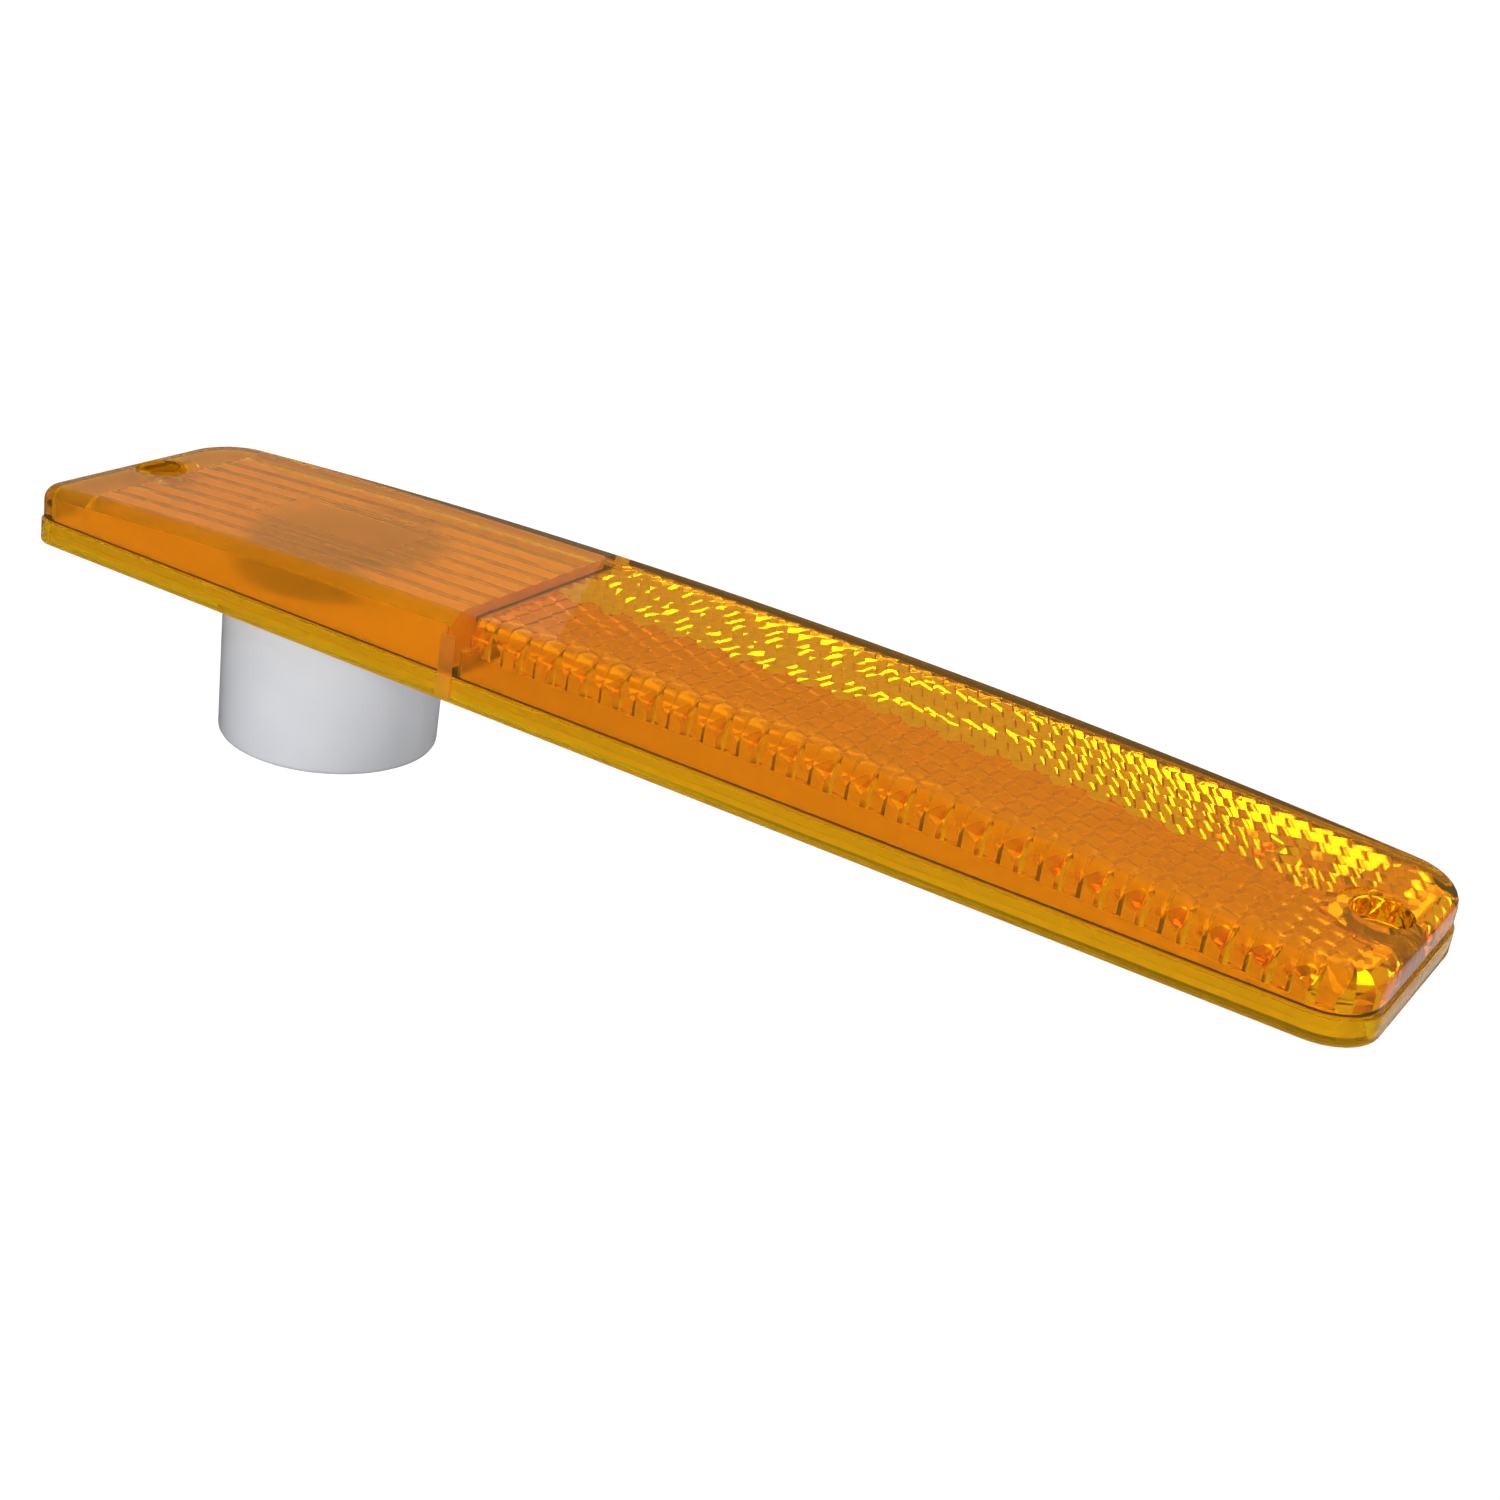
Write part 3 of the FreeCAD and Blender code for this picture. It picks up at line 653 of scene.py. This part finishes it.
def build_seal_bead():
    """Hand-laid sealant in the corner under the plate; its thickness varies a little."""
    rng = random.Random(11)
    ring = lens_ring(0)
    count = len(ring)
    swell = [rng.uniform(-0.10, 0.0) for _ in range(count)]
    swell = [(swell[i - 1] + 2 * swell[i] + swell[(i + 1) % count]) / 4 for i in range(count)]
    top, bead, clear, steps = PLATE_TOP - PLATE_WALL, 1.0, 0.03, 6
    outer = lens_ring(SKIRT_WALL + clear)
    inner = lens_ring(SKIRT_WALL + bead)
    vertices = []
    for i in range(count):
        span = Vector(inner[i]) - Vector(outer[i])
        full = 1.0 + swell[i]
        section = [(0.0, top)]
        for k in range(steps + 1):
            t = math.radians(90 * k / steps)
            section.append((full * math.sin(t) ** 1.4, top - bead * full * math.cos(t) ** 1.4))
        vertices += [(outer[i][0] + span.x * u, outer[i][1] + span.y * u, z) for u, z in section]
    bead_piece = mesh_object("sealant_bead", vertices, skin(count, steps + 2, closed=True))
    for side in (-1, 1):
        gap = drill("bead_gap", BOSS, THROUGH_LOW, THROUGH_HIGH, side * SCREW_X)
        boolean(bead_piece, "DIFFERENCE", gap)
    smooth(bead_piece, 40)
    return bead_piece


# -------------------- socket
FLANGE, FLANGE_TOP, FLANGE_FLOOR = 15.0, -20.0, -21.8
BARREL, BARREL_TOP, BULB, SHOULDER = 10.7, -10.2, 5.1, -10.9
GRIP_LENGTH, GRIP_WALL, GRIP_FLOOR = 27.0, 4.0, -26.1
SLOT_LENGTH, SLOT_WIDTH, SLOT_FLOOR = 11.0, 5.6, -20.4
CONTACT_WALL, CONTACT_WIDTH, CONTACT_TOP = 0.4, 6.4, -11.6
TAB_WIDTH, TAB_REACH, TAB_HOLE, TAB_CORNER = 2.8, 9.2, 0.55, 0.7
CONTACT_INNER = 1.5
RIDGES, RIDGE_START, RIDGE_PITCH, RIDGE_WALL, RIDGE_PROUD = 5, 5.0, 1.75, 0.8, 0.7


def build_socket_body():
    """Flange, barrel, lugs and ribbed finger grip, with room for the bulb's base and contacts."""
    cup = BULB + 0.6
    profile = [
        (0.0, FLANGE_FLOOR),
        (FLANGE - 0.5, FLANGE_FLOOR),
        (FLANGE - 0.15, FLANGE_FLOOR + 0.15),
        (FLANGE, FLANGE_FLOOR + 0.5),
        (FLANGE, FLANGE_TOP - 0.3),
        (FLANGE - 0.3, FLANGE_TOP),
        (BARREL + 0.3, FLANGE_TOP),
        (BARREL, FLANGE_TOP + 0.3),
        (BARREL, BARREL_TOP - 0.6),
        (BARREL - 0.2, BARREL_TOP - 0.18),
        (BARREL - 0.6, BARREL_TOP),
        (cup + 0.4, BARREL_TOP),
        (cup, BARREL_TOP - 0.4),
        (cup, SHOULDER - 0.6),
        (0.0, SHOULDER - 0.6),
    ]
    profile = [(max(r, 0.02), z) for r, z in profile]
    body = revolve("socket_moulding", profile, POT_X, steps=96)
    grip_height = FLANGE_FLOOR - GRIP_FLOOR + 0.3
    grip_z = GRIP_FLOOR + grip_height / 2
    grip_size = (GRIP_LENGTH, GRIP_WALL - RIDGE_PROUD, grip_height)
    boolean(body, "UNION", bar("grip", (POT_X, 0, grip_z), grip_size, 0.35, 0.1))
    for side in (-1, 1):
        for k in range(RIDGES):
            x = POT_X + side * (RIDGE_START + RIDGE_PITCH * k)
            ridge = bar("ridge", (x, 0, grip_z), (RIDGE_WALL, GRIP_WALL, grip_height - 0.6), 0.2)
            boolean(body, "UNION", ridge)
    for third in THIRDS:
        centre = (POT_X + LUG_REACH - LUG_LENGTH / 2, 0, SEAT_TOP + LUG_LIFT + LUG_HEIGHT / 2)
        lug = bar("lug", centre, (LUG_LENGTH, LUG_WIDTH, LUG_HEIGHT), 0.3)
        boolean(body, "UNION", turned_about_pot(lug, third))
    depth = BARREL_TOP - SLOT_FLOOR + 2
    cavity_size = (SLOT_LENGTH, SLOT_WIDTH, depth)
    cavity = bar("cavity", (POT_X, 0, SLOT_FLOOR + depth / 2), cavity_size, 0.05)
    boolean(body, "DIFFERENCE", cavity)
    room_size = (CONTACT_WIDTH, TAB_REACH * 2, CONTACT_WALL)
    foot_room = bar("foot_room", (POT_X, 0, SLOT_FLOOR + CONTACT_WALL / 2), room_size, 0.01)
    boolean(body, "DIFFERENCE", foot_room)
    for side in (-1, 1):
        length = SLOT_FLOOR - GRIP_FLOOR + CONTACT_WALL + 2
        centre = (POT_X, side * (TAB_REACH - TAB_WIDTH / 2), GRIP_FLOOR - 1 + length / 2 - 0.7)
        slot_size = (CONTACT_WALL * 2 + 0.02, TAB_WIDTH + 0.02, length)
        boolean(body, "DIFFERENCE", bar("tab_slot", centre, slot_size, 0.01))
    smooth(body)
    return body


def build_socket_seal():
    """Rubber ring with two lips on its upper face."""
    inner, outer, low, high = SEAT_HOLE + 0.2, FLANGE - 0.6, FLANGE_TOP, -18.5
    loop = rounded_loop(
        [
            (inner, low, 0.3),
            (outer, low, 0.35),
            (outer, high - 0.25, 0.25),
            (outer - 0.7, high, 0.2),
            (outer - 1.2, high - 0.3, 0.2),
            (inner + 1.0, high - 0.3, 0.2),
            (inner + 0.5, high, 0.2),
            (inner, high - 0.25, 0.2),
        ]
    )
    seal = ring_of("seal_ring", loop, POT_X)
    smooth(seal, 40)
    return seal


def build_contact(name, side):
    """A spring strip with a bowed, flared mouth, a foot and a blade with a rounded, holed end."""
    inner, foot = CONTACT_INNER, SLOT_FLOOR
    middle = []
    strip_y = inner + CONTACT_WALL / 2
    for k in range(13):
        t = k / 12
        z = CONTACT_TOP + (foot + CONTACT_WALL - CONTACT_TOP) * t
        bow = 0.28 * math.sin(math.pi * min(1.0, t * 1.15)) ** 2
        flare = 0.45 * max(0.0, 1 - t / 0.16) ** 2
        middle.append((strip_y + bow + flare, z))
    vertices = []
    half = CONTACT_WIDTH / 2
    for y, z in middle:
        narrow = 0.8 * max(0.0, (z - CONTACT_TOP + 0.9) / 0.9) ** 2
        for x, dy in ((-1, -0.5), (1, -0.5), (1, 0.5), (-1, 0.5)):
            vertices.append((POT_X + x * (half - narrow), side * (y + dy * CONTACT_WALL), z))
    item = mesh_object(name, vertices, skin(len(middle), 4) + ends(len(middle), 4))
    centre = (POT_X, side * (inner + TAB_REACH) / 2, foot + CONTACT_WALL / 2)
    foot_size = (CONTACT_WIDTH, TAB_REACH - inner, CONTACT_WALL)
    boolean(item, "UNION", bar("foot", centre, foot_size, 0.06))
    low = GRIP_FLOOR + 0.2
    tab_y = TAB_REACH - TAB_WIDTH / 2
    wall = CONTACT_WALL * 0.95
    near, far = tab_y - TAB_WIDTH / 2, tab_y + TAB_WIDTH / 2
    blade = [(near, foot + 0.2), (far, foot + 0.2), (far, low + 0.8)]
    blade += [(far - TAB_CORNER, low), (near + TAB_CORNER, low), (near, low + 0.8)]
    vertices = [(POT_X + dx * wall, side * y, z) for dx in (-1, 1) for y, z in blade]
    faces = skin(2, len(blade)) + ends(2, len(blade))
    boolean(item, "UNION", mesh_object("blade", vertices, faces))
    hole = drill("hole", TAB_HOLE, -2.0, 2.0, 0, steps=24)
    hole.data.transform(Matrix.Rotation(math.pi / 2, 4, "Y"))
    hole.data.transform(Matrix.Translation(Vector((POT_X, side * tab_y, low + 1.7)) * MM))
    boolean(item, "DIFFERENCE", hole)
    smooth(item)
    return item


# -------------------- bulb
TIP, BULB_WALL, BASE_FLOOR, BASE_LENGTH, BASE_WIDTH = 6.9, 0.6, -19.9, 9.4, 2.4
LEAD_SPREAD, LEAD, LEAD_WIRE, FILAMENT_Z, FILAMENT_COIL = 2.6, 0.25, 0.098, -1.5, 0.45


def dome(radius, top, bottom, neck, steps=10):
    """Half profile of the envelope from its floor up to the tip."""
    tip, flat, neck_rise = 0.02, 0.93, 2.2
    points = [(tip, bottom), (radius - neck, bottom)]
    for k in range(1, 7):
        t = math.radians(15 * k)
        points.append((radius - neck + neck * math.sin(t), bottom + neck_rise * (1 - math.cos(t))))
    for k in range(steps + 1):
        t = math.radians(90 * k / steps)
        height = top - radius * flat + radius * flat * math.sin(t)
        points.append((max(tip, radius * math.cos(t)), height))
    return points


def build_bulb():
    """Hollow envelope on a grooved wedge base, bored for the two lead wires."""
    glass = revolve("bulb_envelope", dome(BULB, TIP, SHOULDER, 1.2), POT_X, steps=72)
    height = SHOULDER + 1.2 - BASE_FLOOR
    rings = []
    steps = 14
    for k in range(steps + 1):
        t = k / steps
        z = BASE_FLOOR + height * t
        ease = 0.35 * max(0.0, 1 - t / 0.06)
        groove = 0.28 * math.exp(-(((t - 0.42) / 0.07) ** 2))
        half_x = BASE_LENGTH / 2 - ease - 0.5 * max(0.0, t - 0.8) / 0.2
        half_y = BASE_WIDTH / 2 - ease * 0.6 - groove
        radii = {side: half_y * 0.7 for side in CORNERS}
        plan = outline(-half_x, half_x, half_y, radii, steps=5, spacing=WHOLE_SIDES)
        rings.append([(POT_X + x, y, z) for x, y in plan])
    boolean(glass, "UNION", loft("wedge", rings, None, None))
    inner = dome(BULB - BULB_WALL, TIP - 1.0, SHOULDER + 1.6, 1.2)
    boolean(glass, "DIFFERENCE", revolve("hollow", inner, POT_X, steps=72))
    for side in (-1, 1):
        x = POT_X + side * LEAD_SPREAD
        bore = drill("bore", LEAD + 0.01, BASE_FLOOR - 2, SHOULDER + 2.2, x, steps=16)
        boolean(glass, "DIFFERENCE", bore)
    smooth(glass, 40)
    return glass


def build_filament():
    """A tight coil with a straight tail at each end."""
    turns, wire = 11, 0.075
    reach = LEAD_SPREAD - LEAD
    coil = FILAMENT_COIL - wire
    path = [(POT_X - reach, 0, FILAMENT_Z)]
    steps = turns * 14
    for k in range(steps + 1):
        angle = 2 * math.pi * turns * k / steps
        grow = min(1.0, k / 10, (steps - k) / 10)
        x = POT_X + (reach - 0.35) * (2 * k / steps - 1)
        path.append((x, coil * grow * math.sin(angle), FILAMENT_Z + coil * grow * math.cos(angle)))
    path.append((POT_X + reach, 0, FILAMENT_Z))
    item = tube("coil", path, wire, 8)
    smooth(item, 60)
    return item


def build_lead(name, side):
    """A drawn wire: up through the glass to the filament, and folded under the wedge's end."""
    x = POT_X + side * LEAD_SPREAD
    low = BASE_FLOOR - 0.1
    face = side * (BASE_WIDTH / 2 + 0.15)
    fold, top = BASE_FLOOR + 3.7, FILAMENT_Z + 0.18
    path = [(x, face, fold - 0.6 * k) for k in range(6)]
    path += [(x, face - side * 0.05, low + 0.12), (x, face - side * 0.16, low)]
    path += [(x, face * share, low) for share in (0.7, 0.45, 0.25)]
    path += [(x, side * 0.06, low + 0.02), (x, 0, low + 0.15)]
    path += [(x, 0, BASE_FLOOR + (top - BASE_FLOOR) * k / 12) for k in range(1, 13)]
    item = tube(name, path, LEAD_WIRE, 12)
    smooth(item, 60)
    return item


# -------------------- materials
# Roughness of the inner faces and of the partition and rim, and the rim's height.
SATIN, FROST, RIM_CUT = 0.35, 1.0, 0.6
AMBER, AMBER_SKIRT = (1.0, 0.55, 0.002, 1), (1.0, 0.69, 0.002, 1)
LENS_INDEX, LENS_CLARITY = 1.59, 0.92
DYE, DYE_DENSITY = (1.0, 0.5, 0.0, 1), 40.0
GLASS, GLASS_INDEX = (0.98, 0.99, 0.985, 1), 1.5
DETAIL, GRAIN_FINER, GRAIN_DEPTH = 5.0, 12, 0.0001


def new_material(name):
    material = bpy.data.materials.new(name)
    material.use_nodes = True
    nodes = material.node_tree.nodes
    return material, nodes["Principled BSDF"], nodes["Material Output"]


def amber():
    """Dyed clear plastic: polished outside, satin on the inner faces, frosted on the partition
    and the cut rim, paler in the thin skirt."""
    material, shader, output = new_material("amber_polycarbonate")
    tree = material.node_tree
    where = tree.nodes.new("ShaderNodeTexCoord")
    axes = tree.nodes.new("ShaderNodeSeparateXYZ")
    tree.links.new(where.outputs["Object"], axes.inputs["Vector"])

    def math_node(kind, first, second):
        node = tree.nodes.new("ShaderNodeMath")
        node.operation = kind
        for socket, value in zip(node.inputs, (first, second)):
            if isinstance(value, float):
                socket.default_value = value
            else:
                tree.links.new(value, socket)
        return node.outputs["Value"]

    def below(value, limit):
        return math_node("LESS_THAN", value, limit * MM)

    def both(first, second):
        return math_node("MULTIPLY", first, second)

    x, y, z = (axes.outputs[axis] for axis in "XYZ")
    side_x, side_y = math_node("ABSOLUTE", x, 0.0), math_node("ABSOLUTE", y, 0.0)
    sag = math_node("MULTIPLY", both(x, x), 0.5 / (CROWN_RADIUS * MM))
    level = math_node("ADD", z, sag)
    reach = 0.3 - ROOM_INSET
    inner = both(below(side_x, LENGTH / 2 + reach), below(side_y, WIDTH / 2 + reach))
    under_face = below(level, CROWN_TOP - FACE_WALL + FLUTE_RISE)
    in_room = both(below(x, PARTITION_X + PARTITION_WALL), under_face)
    under_cells = below(level, CROWN_TOP - BLANK_DEPTH - 0.2)
    satin = both(inner, math_node("MAXIMUM", in_room, under_cells))
    off_wall = math_node("ABSOLUTE", math_node("SUBTRACT", x, PARTITION_X * MM), 0.0)
    under_top = below(z, CROWN_TOP - FACE_WALL - 0.8)
    wall = both(below(off_wall, PARTITION_WALL / 2 + 0.2), under_top)
    frosted = both(math_node("MAXIMUM", wall, below(z, RIM_CUT)), FROST)
    tree.links.new(math_node("MAXIMUM", both(satin, SATIN), frosted), shader.inputs["Roughness"])
    tint = tree.nodes.new("ShaderNodeMix")
    tint.data_type = "RGBA"
    tint.inputs["A"].default_value = AMBER
    tint.inputs["B"].default_value = AMBER_SKIRT
    tree.links.new(below(z, SKIRT_TOP), tint.inputs["Factor"])
    tree.links.new(tint.outputs["Result"], shader.inputs["Base Color"])
    shader.inputs["IOR"].default_value = LENS_INDEX
    shader.inputs["Transmission Weight"].default_value = LENS_CLARITY
    absorb = tree.nodes.new("ShaderNodeVolumeAbsorption")
    absorb.inputs["Color"].default_value = DYE
    absorb.inputs["Density"].default_value = DYE_DENSITY
    tree.links.new(absorb.outputs["Volume"], output.inputs["Volume"])
    return material


def surface(name, dark, light, scale, roughness, bump=0.0, metallic=0.0, stretch=(1, 1, 1)):
    """A solid finish: one noise carries its colour and roughness, a finer one its grain."""
    material, shader, _ = new_material(name)
    nodes, links = material.node_tree.nodes, material.node_tree.links
    where = nodes.new("ShaderNodeTexCoord")
    spread = nodes.new("ShaderNodeMapping")
    spread.inputs["Scale"].default_value = stretch
    noise = nodes.new("ShaderNodeTexNoise")
    noise.inputs["Scale"].default_value = scale
    noise.inputs["Detail"].default_value = DETAIL
    links.new(where.outputs["Object"], spread.inputs["Vector"])
    links.new(spread.outputs["Vector"], noise.inputs["Vector"])
    tones = nodes.new("ShaderNodeValToRGB")
    for stop, position, tone in zip(tones.color_ramp.elements, (0.3, 0.7), (dark, light)):
        stop.position = position
        stop.color = (*tone, 1)
    links.new(noise.outputs["Fac"], tones.inputs["Fac"])
    links.new(tones.outputs["Color"], shader.inputs["Base Color"])
    span = nodes.new("ShaderNodeMapRange")
    span.inputs["To Min"].default_value = roughness[0]
    span.inputs["To Max"].default_value = roughness[1]
    links.new(noise.outputs["Fac"], span.inputs["Value"])
    links.new(span.outputs["Result"], shader.inputs["Roughness"])
    shader.inputs["Metallic"].default_value = metallic
    if bump:
        grain = nodes.new("ShaderNodeTexNoise")
        grain.inputs["Scale"].default_value = scale * GRAIN_FINER
        links.new(spread.outputs["Vector"], grain.inputs["Vector"])
        height = nodes.new("ShaderNodeBump")
        height.inputs["Strength"].default_value = bump
        height.inputs["Distance"].default_value = GRAIN_DEPTH
        links.new(grain.outputs["Fac"], height.inputs["Height"])
        links.new(height.outputs["Normal"], shader.inputs["Normal"])
    return material


def clear_glass():
    """Bulb glass; faint drawing streaks vary its polish."""
    material, shader, _ = new_material("bulb_clear_glass")
    tree = material.node_tree
    shader.inputs["Base Color"].default_value = GLASS
    shader.inputs["IOR"].default_value = GLASS_INDEX
    shader.inputs["Transmission Weight"].default_value = 1.0
    noise = tree.nodes.new("ShaderNodeTexNoise")
    noise.inputs["Scale"].default_value = 300.0
    span = tree.nodes.new("ShaderNodeMapRange")
    span.inputs["To Max"].default_value = 0.05
    where = tree.nodes.new("ShaderNodeTexCoord")
    tree.links.new(where.outputs["Object"], noise.inputs["Vector"])
    tree.links.new(noise.outputs["Fac"], span.inputs["Value"])
    tree.links.new(span.outputs["Result"], shader.inputs["Roughness"])
    return material


white = surface("white_moulding", (0.78, 0.8, 0.845), (0.82, 0.84, 0.885), 90, (0.14, 0.24), 0.08)
sealant = surface("cured_sealant", (0.8, 0.81, 0.8), (0.88, 0.89, 0.88), 260, (0.35, 0.55), 0.25)
grey = surface("socket_grey", (0.58, 0.58, 0.56), (0.66, 0.66, 0.64), 220, (0.38, 0.55), 0.3)
rubber = surface(
    "seal_rubber_black", (0.035, 0.035, 0.035), (0.06, 0.06, 0.06), 400, (0.6, 0.8), 0.3
)
brass = surface(
    "stamped_brass", (0.7, 0.52, 0.25), (0.84, 0.68, 0.38), 500, (0.2, 0.4), 0.2, 1.0, (0.15, 1, 1)
)
tungsten = surface(
    "tungsten", (0.38, 0.38, 0.39), (0.5, 0.5, 0.51), 2000, (0.3, 0.45), 0.1, 1.0
)
drawn = surface(
    "drawn_wire", (0.55, 0.52, 0.49), (0.66, 0.64, 0.6), 900, (0.25, 0.4), 0.1, 1.0, (1, 1, 0.1)
)
place(build_lens(), "lamp", "amber_lens", amber(), "lens")
place(build_housing(), "lamp", "white_plastic", white, "housing")
place(build_seal_bead(), "lamp", "sealant", sealant, "lens_seal")
place(build_socket_body(), "socket", "socket_plastic", grey, "socket_body")
place(build_socket_seal(), "socket", "seal_rubber", rubber, "socket_seal")
place(build_contact("contact_strip_live", 1), "socket", "contact_brass", brass, "contact_live")
place(build_contact("contact_strip_earth", -1), "socket", "contact_brass", brass, "contact_earth")
place(build_bulb(), "socket", "bulb_glass", clear_glass(), "bulb_glass")
place(build_filament(), "socket", "tungsten_wire", tungsten, "filament")
place(build_lead("lead_wire_left", -1), "socket", "lead_wire", drawn, "lead_left")
place(build_lead("lead_wire_right", 1), "socket", "lead_wire", drawn, "lead_right")


# -------------------- stage, light and camera
DRUM_REST, FLOOR_HALF, FLOOR_TONE, FLOOR_GLOW = 52.3, 12.0, 0.45, 1.05
ROOM_SEEN, ROOM_AROUND, ROOM_BEYOND = 1.0, 0.09, 0.7
FOCAL, SENSOR, BOUNCES = 56.72, 36.0, 24
CAMERA = Vector((0.1741, -0.2996, 0.1456))
CAMERA_RIGHT = Vector((0.84184, 0.52144, 0.13927))
CAMERA_FORWARD = Vector((-0.43559, 0.80878, -0.39513))
CAMERA_UP = CAMERA_RIGHT.cross(CAMERA_FORWARD)
# A curved flash behind the camera, metres right of it and above it; its rows are
# drop, height and radiance. The reflector sends its light back into the picture.
FLASH_BEHIND, STRIP_LAP = 0.15, 1.02
FLASH_ROWS = ((0.0, 0.004, 180.0), (0.006, 0.0006, 14.0), (0.012, 0.0006, 9.0))
FLASH_CURVE = (
    (0.017, 0.047), (0.009, 0.052), (-0.002, 0.0565),
    (-0.012, 0.0525), (-0.028, 0.029), (-0.041, 0.003),
)
FLASH_AIM = Vector((0.045, 0.012, 0.01))
# Name, place, aim, width, height, watts, and whether it shows in reflections.
LIGHTS = (
    ("overhead", (0.12, 0.0, 0.6), (0, 0, 0), 0.8, 0.6, 5.7, False),
    ("fill", (0.1, -0.85, 0.17), (0, 0, 0), 0.4, 0.3, 2.1, False),
    ("key", (-0.35, -0.5, 0.55), (-0.04, 0, 0), 0.09, 0.09, 0.6, False),
    ("side", (0.62, -0.6, 0.24), (0, 0, 0), 0.4, 0.2, 1.6, False),
    ("end_card", (0.336, 0.5, -0.25), (0.12, 0, 0), 0.35, 0.25, 0.12, True),
    ("rim", (-0.9, 0.7, 0.36), (-0.08, 0, 0), 0.7, 0.5, 0.16, True),
    ("back", (0.05, 0.8, 0.22), (0, 0, 0), 0.6, 0.25, 3.5, False),
    ("glint", (0.235, -0.45, 0.325), (0.02, 0, 0), 0.018, 0.018, 0.06, True),
)


def stage():
    """Pale floor under the drum's foot and the lens's far end, on which the lamp lies tilted."""
    tilt = math.atan2(POT_DEPTH, LENGTH / 2 + DRUM_REST)
    mesh = bpy.data.meshes.new("floor")
    corners = [(-1, -1, 0), (1, -1, 0), (1, 1, 0), (-1, 1, 0)]
    mesh.from_pydata([Vector(corner) * FLOOR_HALF for corner in corners], [], [(0, 1, 2, 3)])
    floor = add_object("floor", mesh)
    edge = Matrix.Translation((LENGTH / 2 * MM, 0, -0.0003))
    floor.matrix_world = edge @ Matrix.Rotation(-tilt, 4, "Y")
    material, shader, output = new_material("pale_floor")
    shader.inputs["Base Color"].default_value = (FLOOR_TONE, FLOOR_TONE, FLOOR_TONE, 1)
    shader.inputs["Roughness"].default_value = 0.9
    nodes, links = material.node_tree.nodes, material.node_tree.links
    glow = nodes.new("ShaderNodeEmission")
    glow.inputs["Strength"].default_value = FLOOR_GLOW
    path = nodes.new("ShaderNodeLightPath")
    mix = nodes.new("ShaderNodeMixShader")
    links.new(path.outputs["Is Camera Ray"], mix.inputs["Fac"])
    links.new(shader.outputs["BSDF"], mix.inputs[1])
    links.new(glow.outputs["Emission"], mix.inputs[2])
    links.new(mix.outputs["Shader"], output.inputs["Surface"])
    mesh.materials.append(material)
    floor.visible_glossy = False


def light(name, centre, target, width, height, power, level=(1, 0, 0)):
    """A rectangular soft light; level is the direction of its long side."""
    data = bpy.data.lights.new(name, "AREA")
    data.shape = "RECTANGLE"
    data.size, data.size_y = width, height
    data.energy = power
    item = add_object(name, data)
    back = (Vector(centre) - Vector(target)).normalized()
    side = (Vector(level) - back * back.dot(Vector(level))).normalized()
    matrix = Matrix((side, back.cross(side), back)).transposed().to_4x4()
    matrix.translation = Vector(centre)
    item.matrix_world = matrix
    item.visible_camera = False
    return item


def world():
    """White to the camera, bright to rays through the lens, dim to all others."""
    studio = bpy.data.worlds.new("studio")
    bpy.context.scene.world = studio
    studio.use_nodes = True
    nodes, links = studio.node_tree.nodes, studio.node_tree.links

    def backdrop(node, strength, colour=(1, 1, 1, 1)):
        node.inputs["Color"].default_value = colour
        node.inputs["Strength"].default_value = strength
        return node

    background = backdrop(nodes["Background"], ROOM_AROUND, (0.98, 0.97, 1.0, 1))
    seen = backdrop(nodes.new("ShaderNodeBackground"), ROOM_SEEN)
    beyond = backdrop(nodes.new("ShaderNodeBackground"), ROOM_BEYOND)
    path = nodes.new("ShaderNodeLightPath")
    mix = nodes.new("ShaderNodeMixShader")
    links.new(path.outputs["Is Camera Ray"], mix.inputs["Fac"])
    through = nodes.new("ShaderNodeMixShader")
    links.new(path.outputs["Is Transmission Ray"], through.inputs["Fac"])
    links.new(background.outputs["Background"], through.inputs[1])
    links.new(beyond.outputs["Background"], through.inputs[2])
    links.new(through.outputs["Shader"], mix.inputs[1])
    links.new(seen.outputs["Background"], mix.inputs[2])
    links.new(mix.outputs["Shader"], nodes["World Output"].inputs["Surface"])


def camera():
    data = bpy.data.cameras.new("camera")
    data.lens = FOCAL
    data.sensor_width = SENSOR
    data.clip_start = 0.01
    item = add_object("camera", data)
    matrix = Matrix((CAMERA_RIGHT, CAMERA_UP, -CAMERA_FORWARD)).transposed().to_4x4()
    matrix.translation = CAMERA
    item.matrix_world = matrix
    bpy.context.scene.camera = item


def flash_point(right, up):
    """A point of the flash: metres right of and above the camera, and a little behind it."""
    return CAMERA + CAMERA_RIGHT * right + CAMERA_UP * up - CAMERA_FORWARD * FLASH_BEHIND


def flash():
    """Thin strips along the curve, one run of them for each row."""
    curve = [flash_point(right, up) for right, up in FLASH_CURVE]
    for row, (drop, height, radiance) in enumerate(FLASH_ROWS):
        for k, (start, end) in enumerate(zip(curve, curve[1:])):
            along = end - start
            power = math.pi * along.length * height * radiance
            centre = (start + end) / 2 - CAMERA_UP * drop
            size = (along.length * STRIP_LAP, height)
            strip = light(f"flash_{row}_{k}", centre, FLASH_AIM, *size, power, along)
            strip.visible_glossy = False


stage()
world()
camera()
flash()
lights = {}
for name, *setting, mirrored in LIGHTS:
    lights[name] = light(name, *setting)
    lights[name].visible_glossy = mirrored
lights["end_card"].visible_diffuse = False
lights["end_card"].visible_transmission = False
lights["glint"].data.shape = "ELLIPSE"
scene = bpy.context.scene
scene.view_settings.view_transform = "Standard"
scene.cycles.max_bounces = BOUNCES
scene.cycles.transmission_bounces = BOUNCES
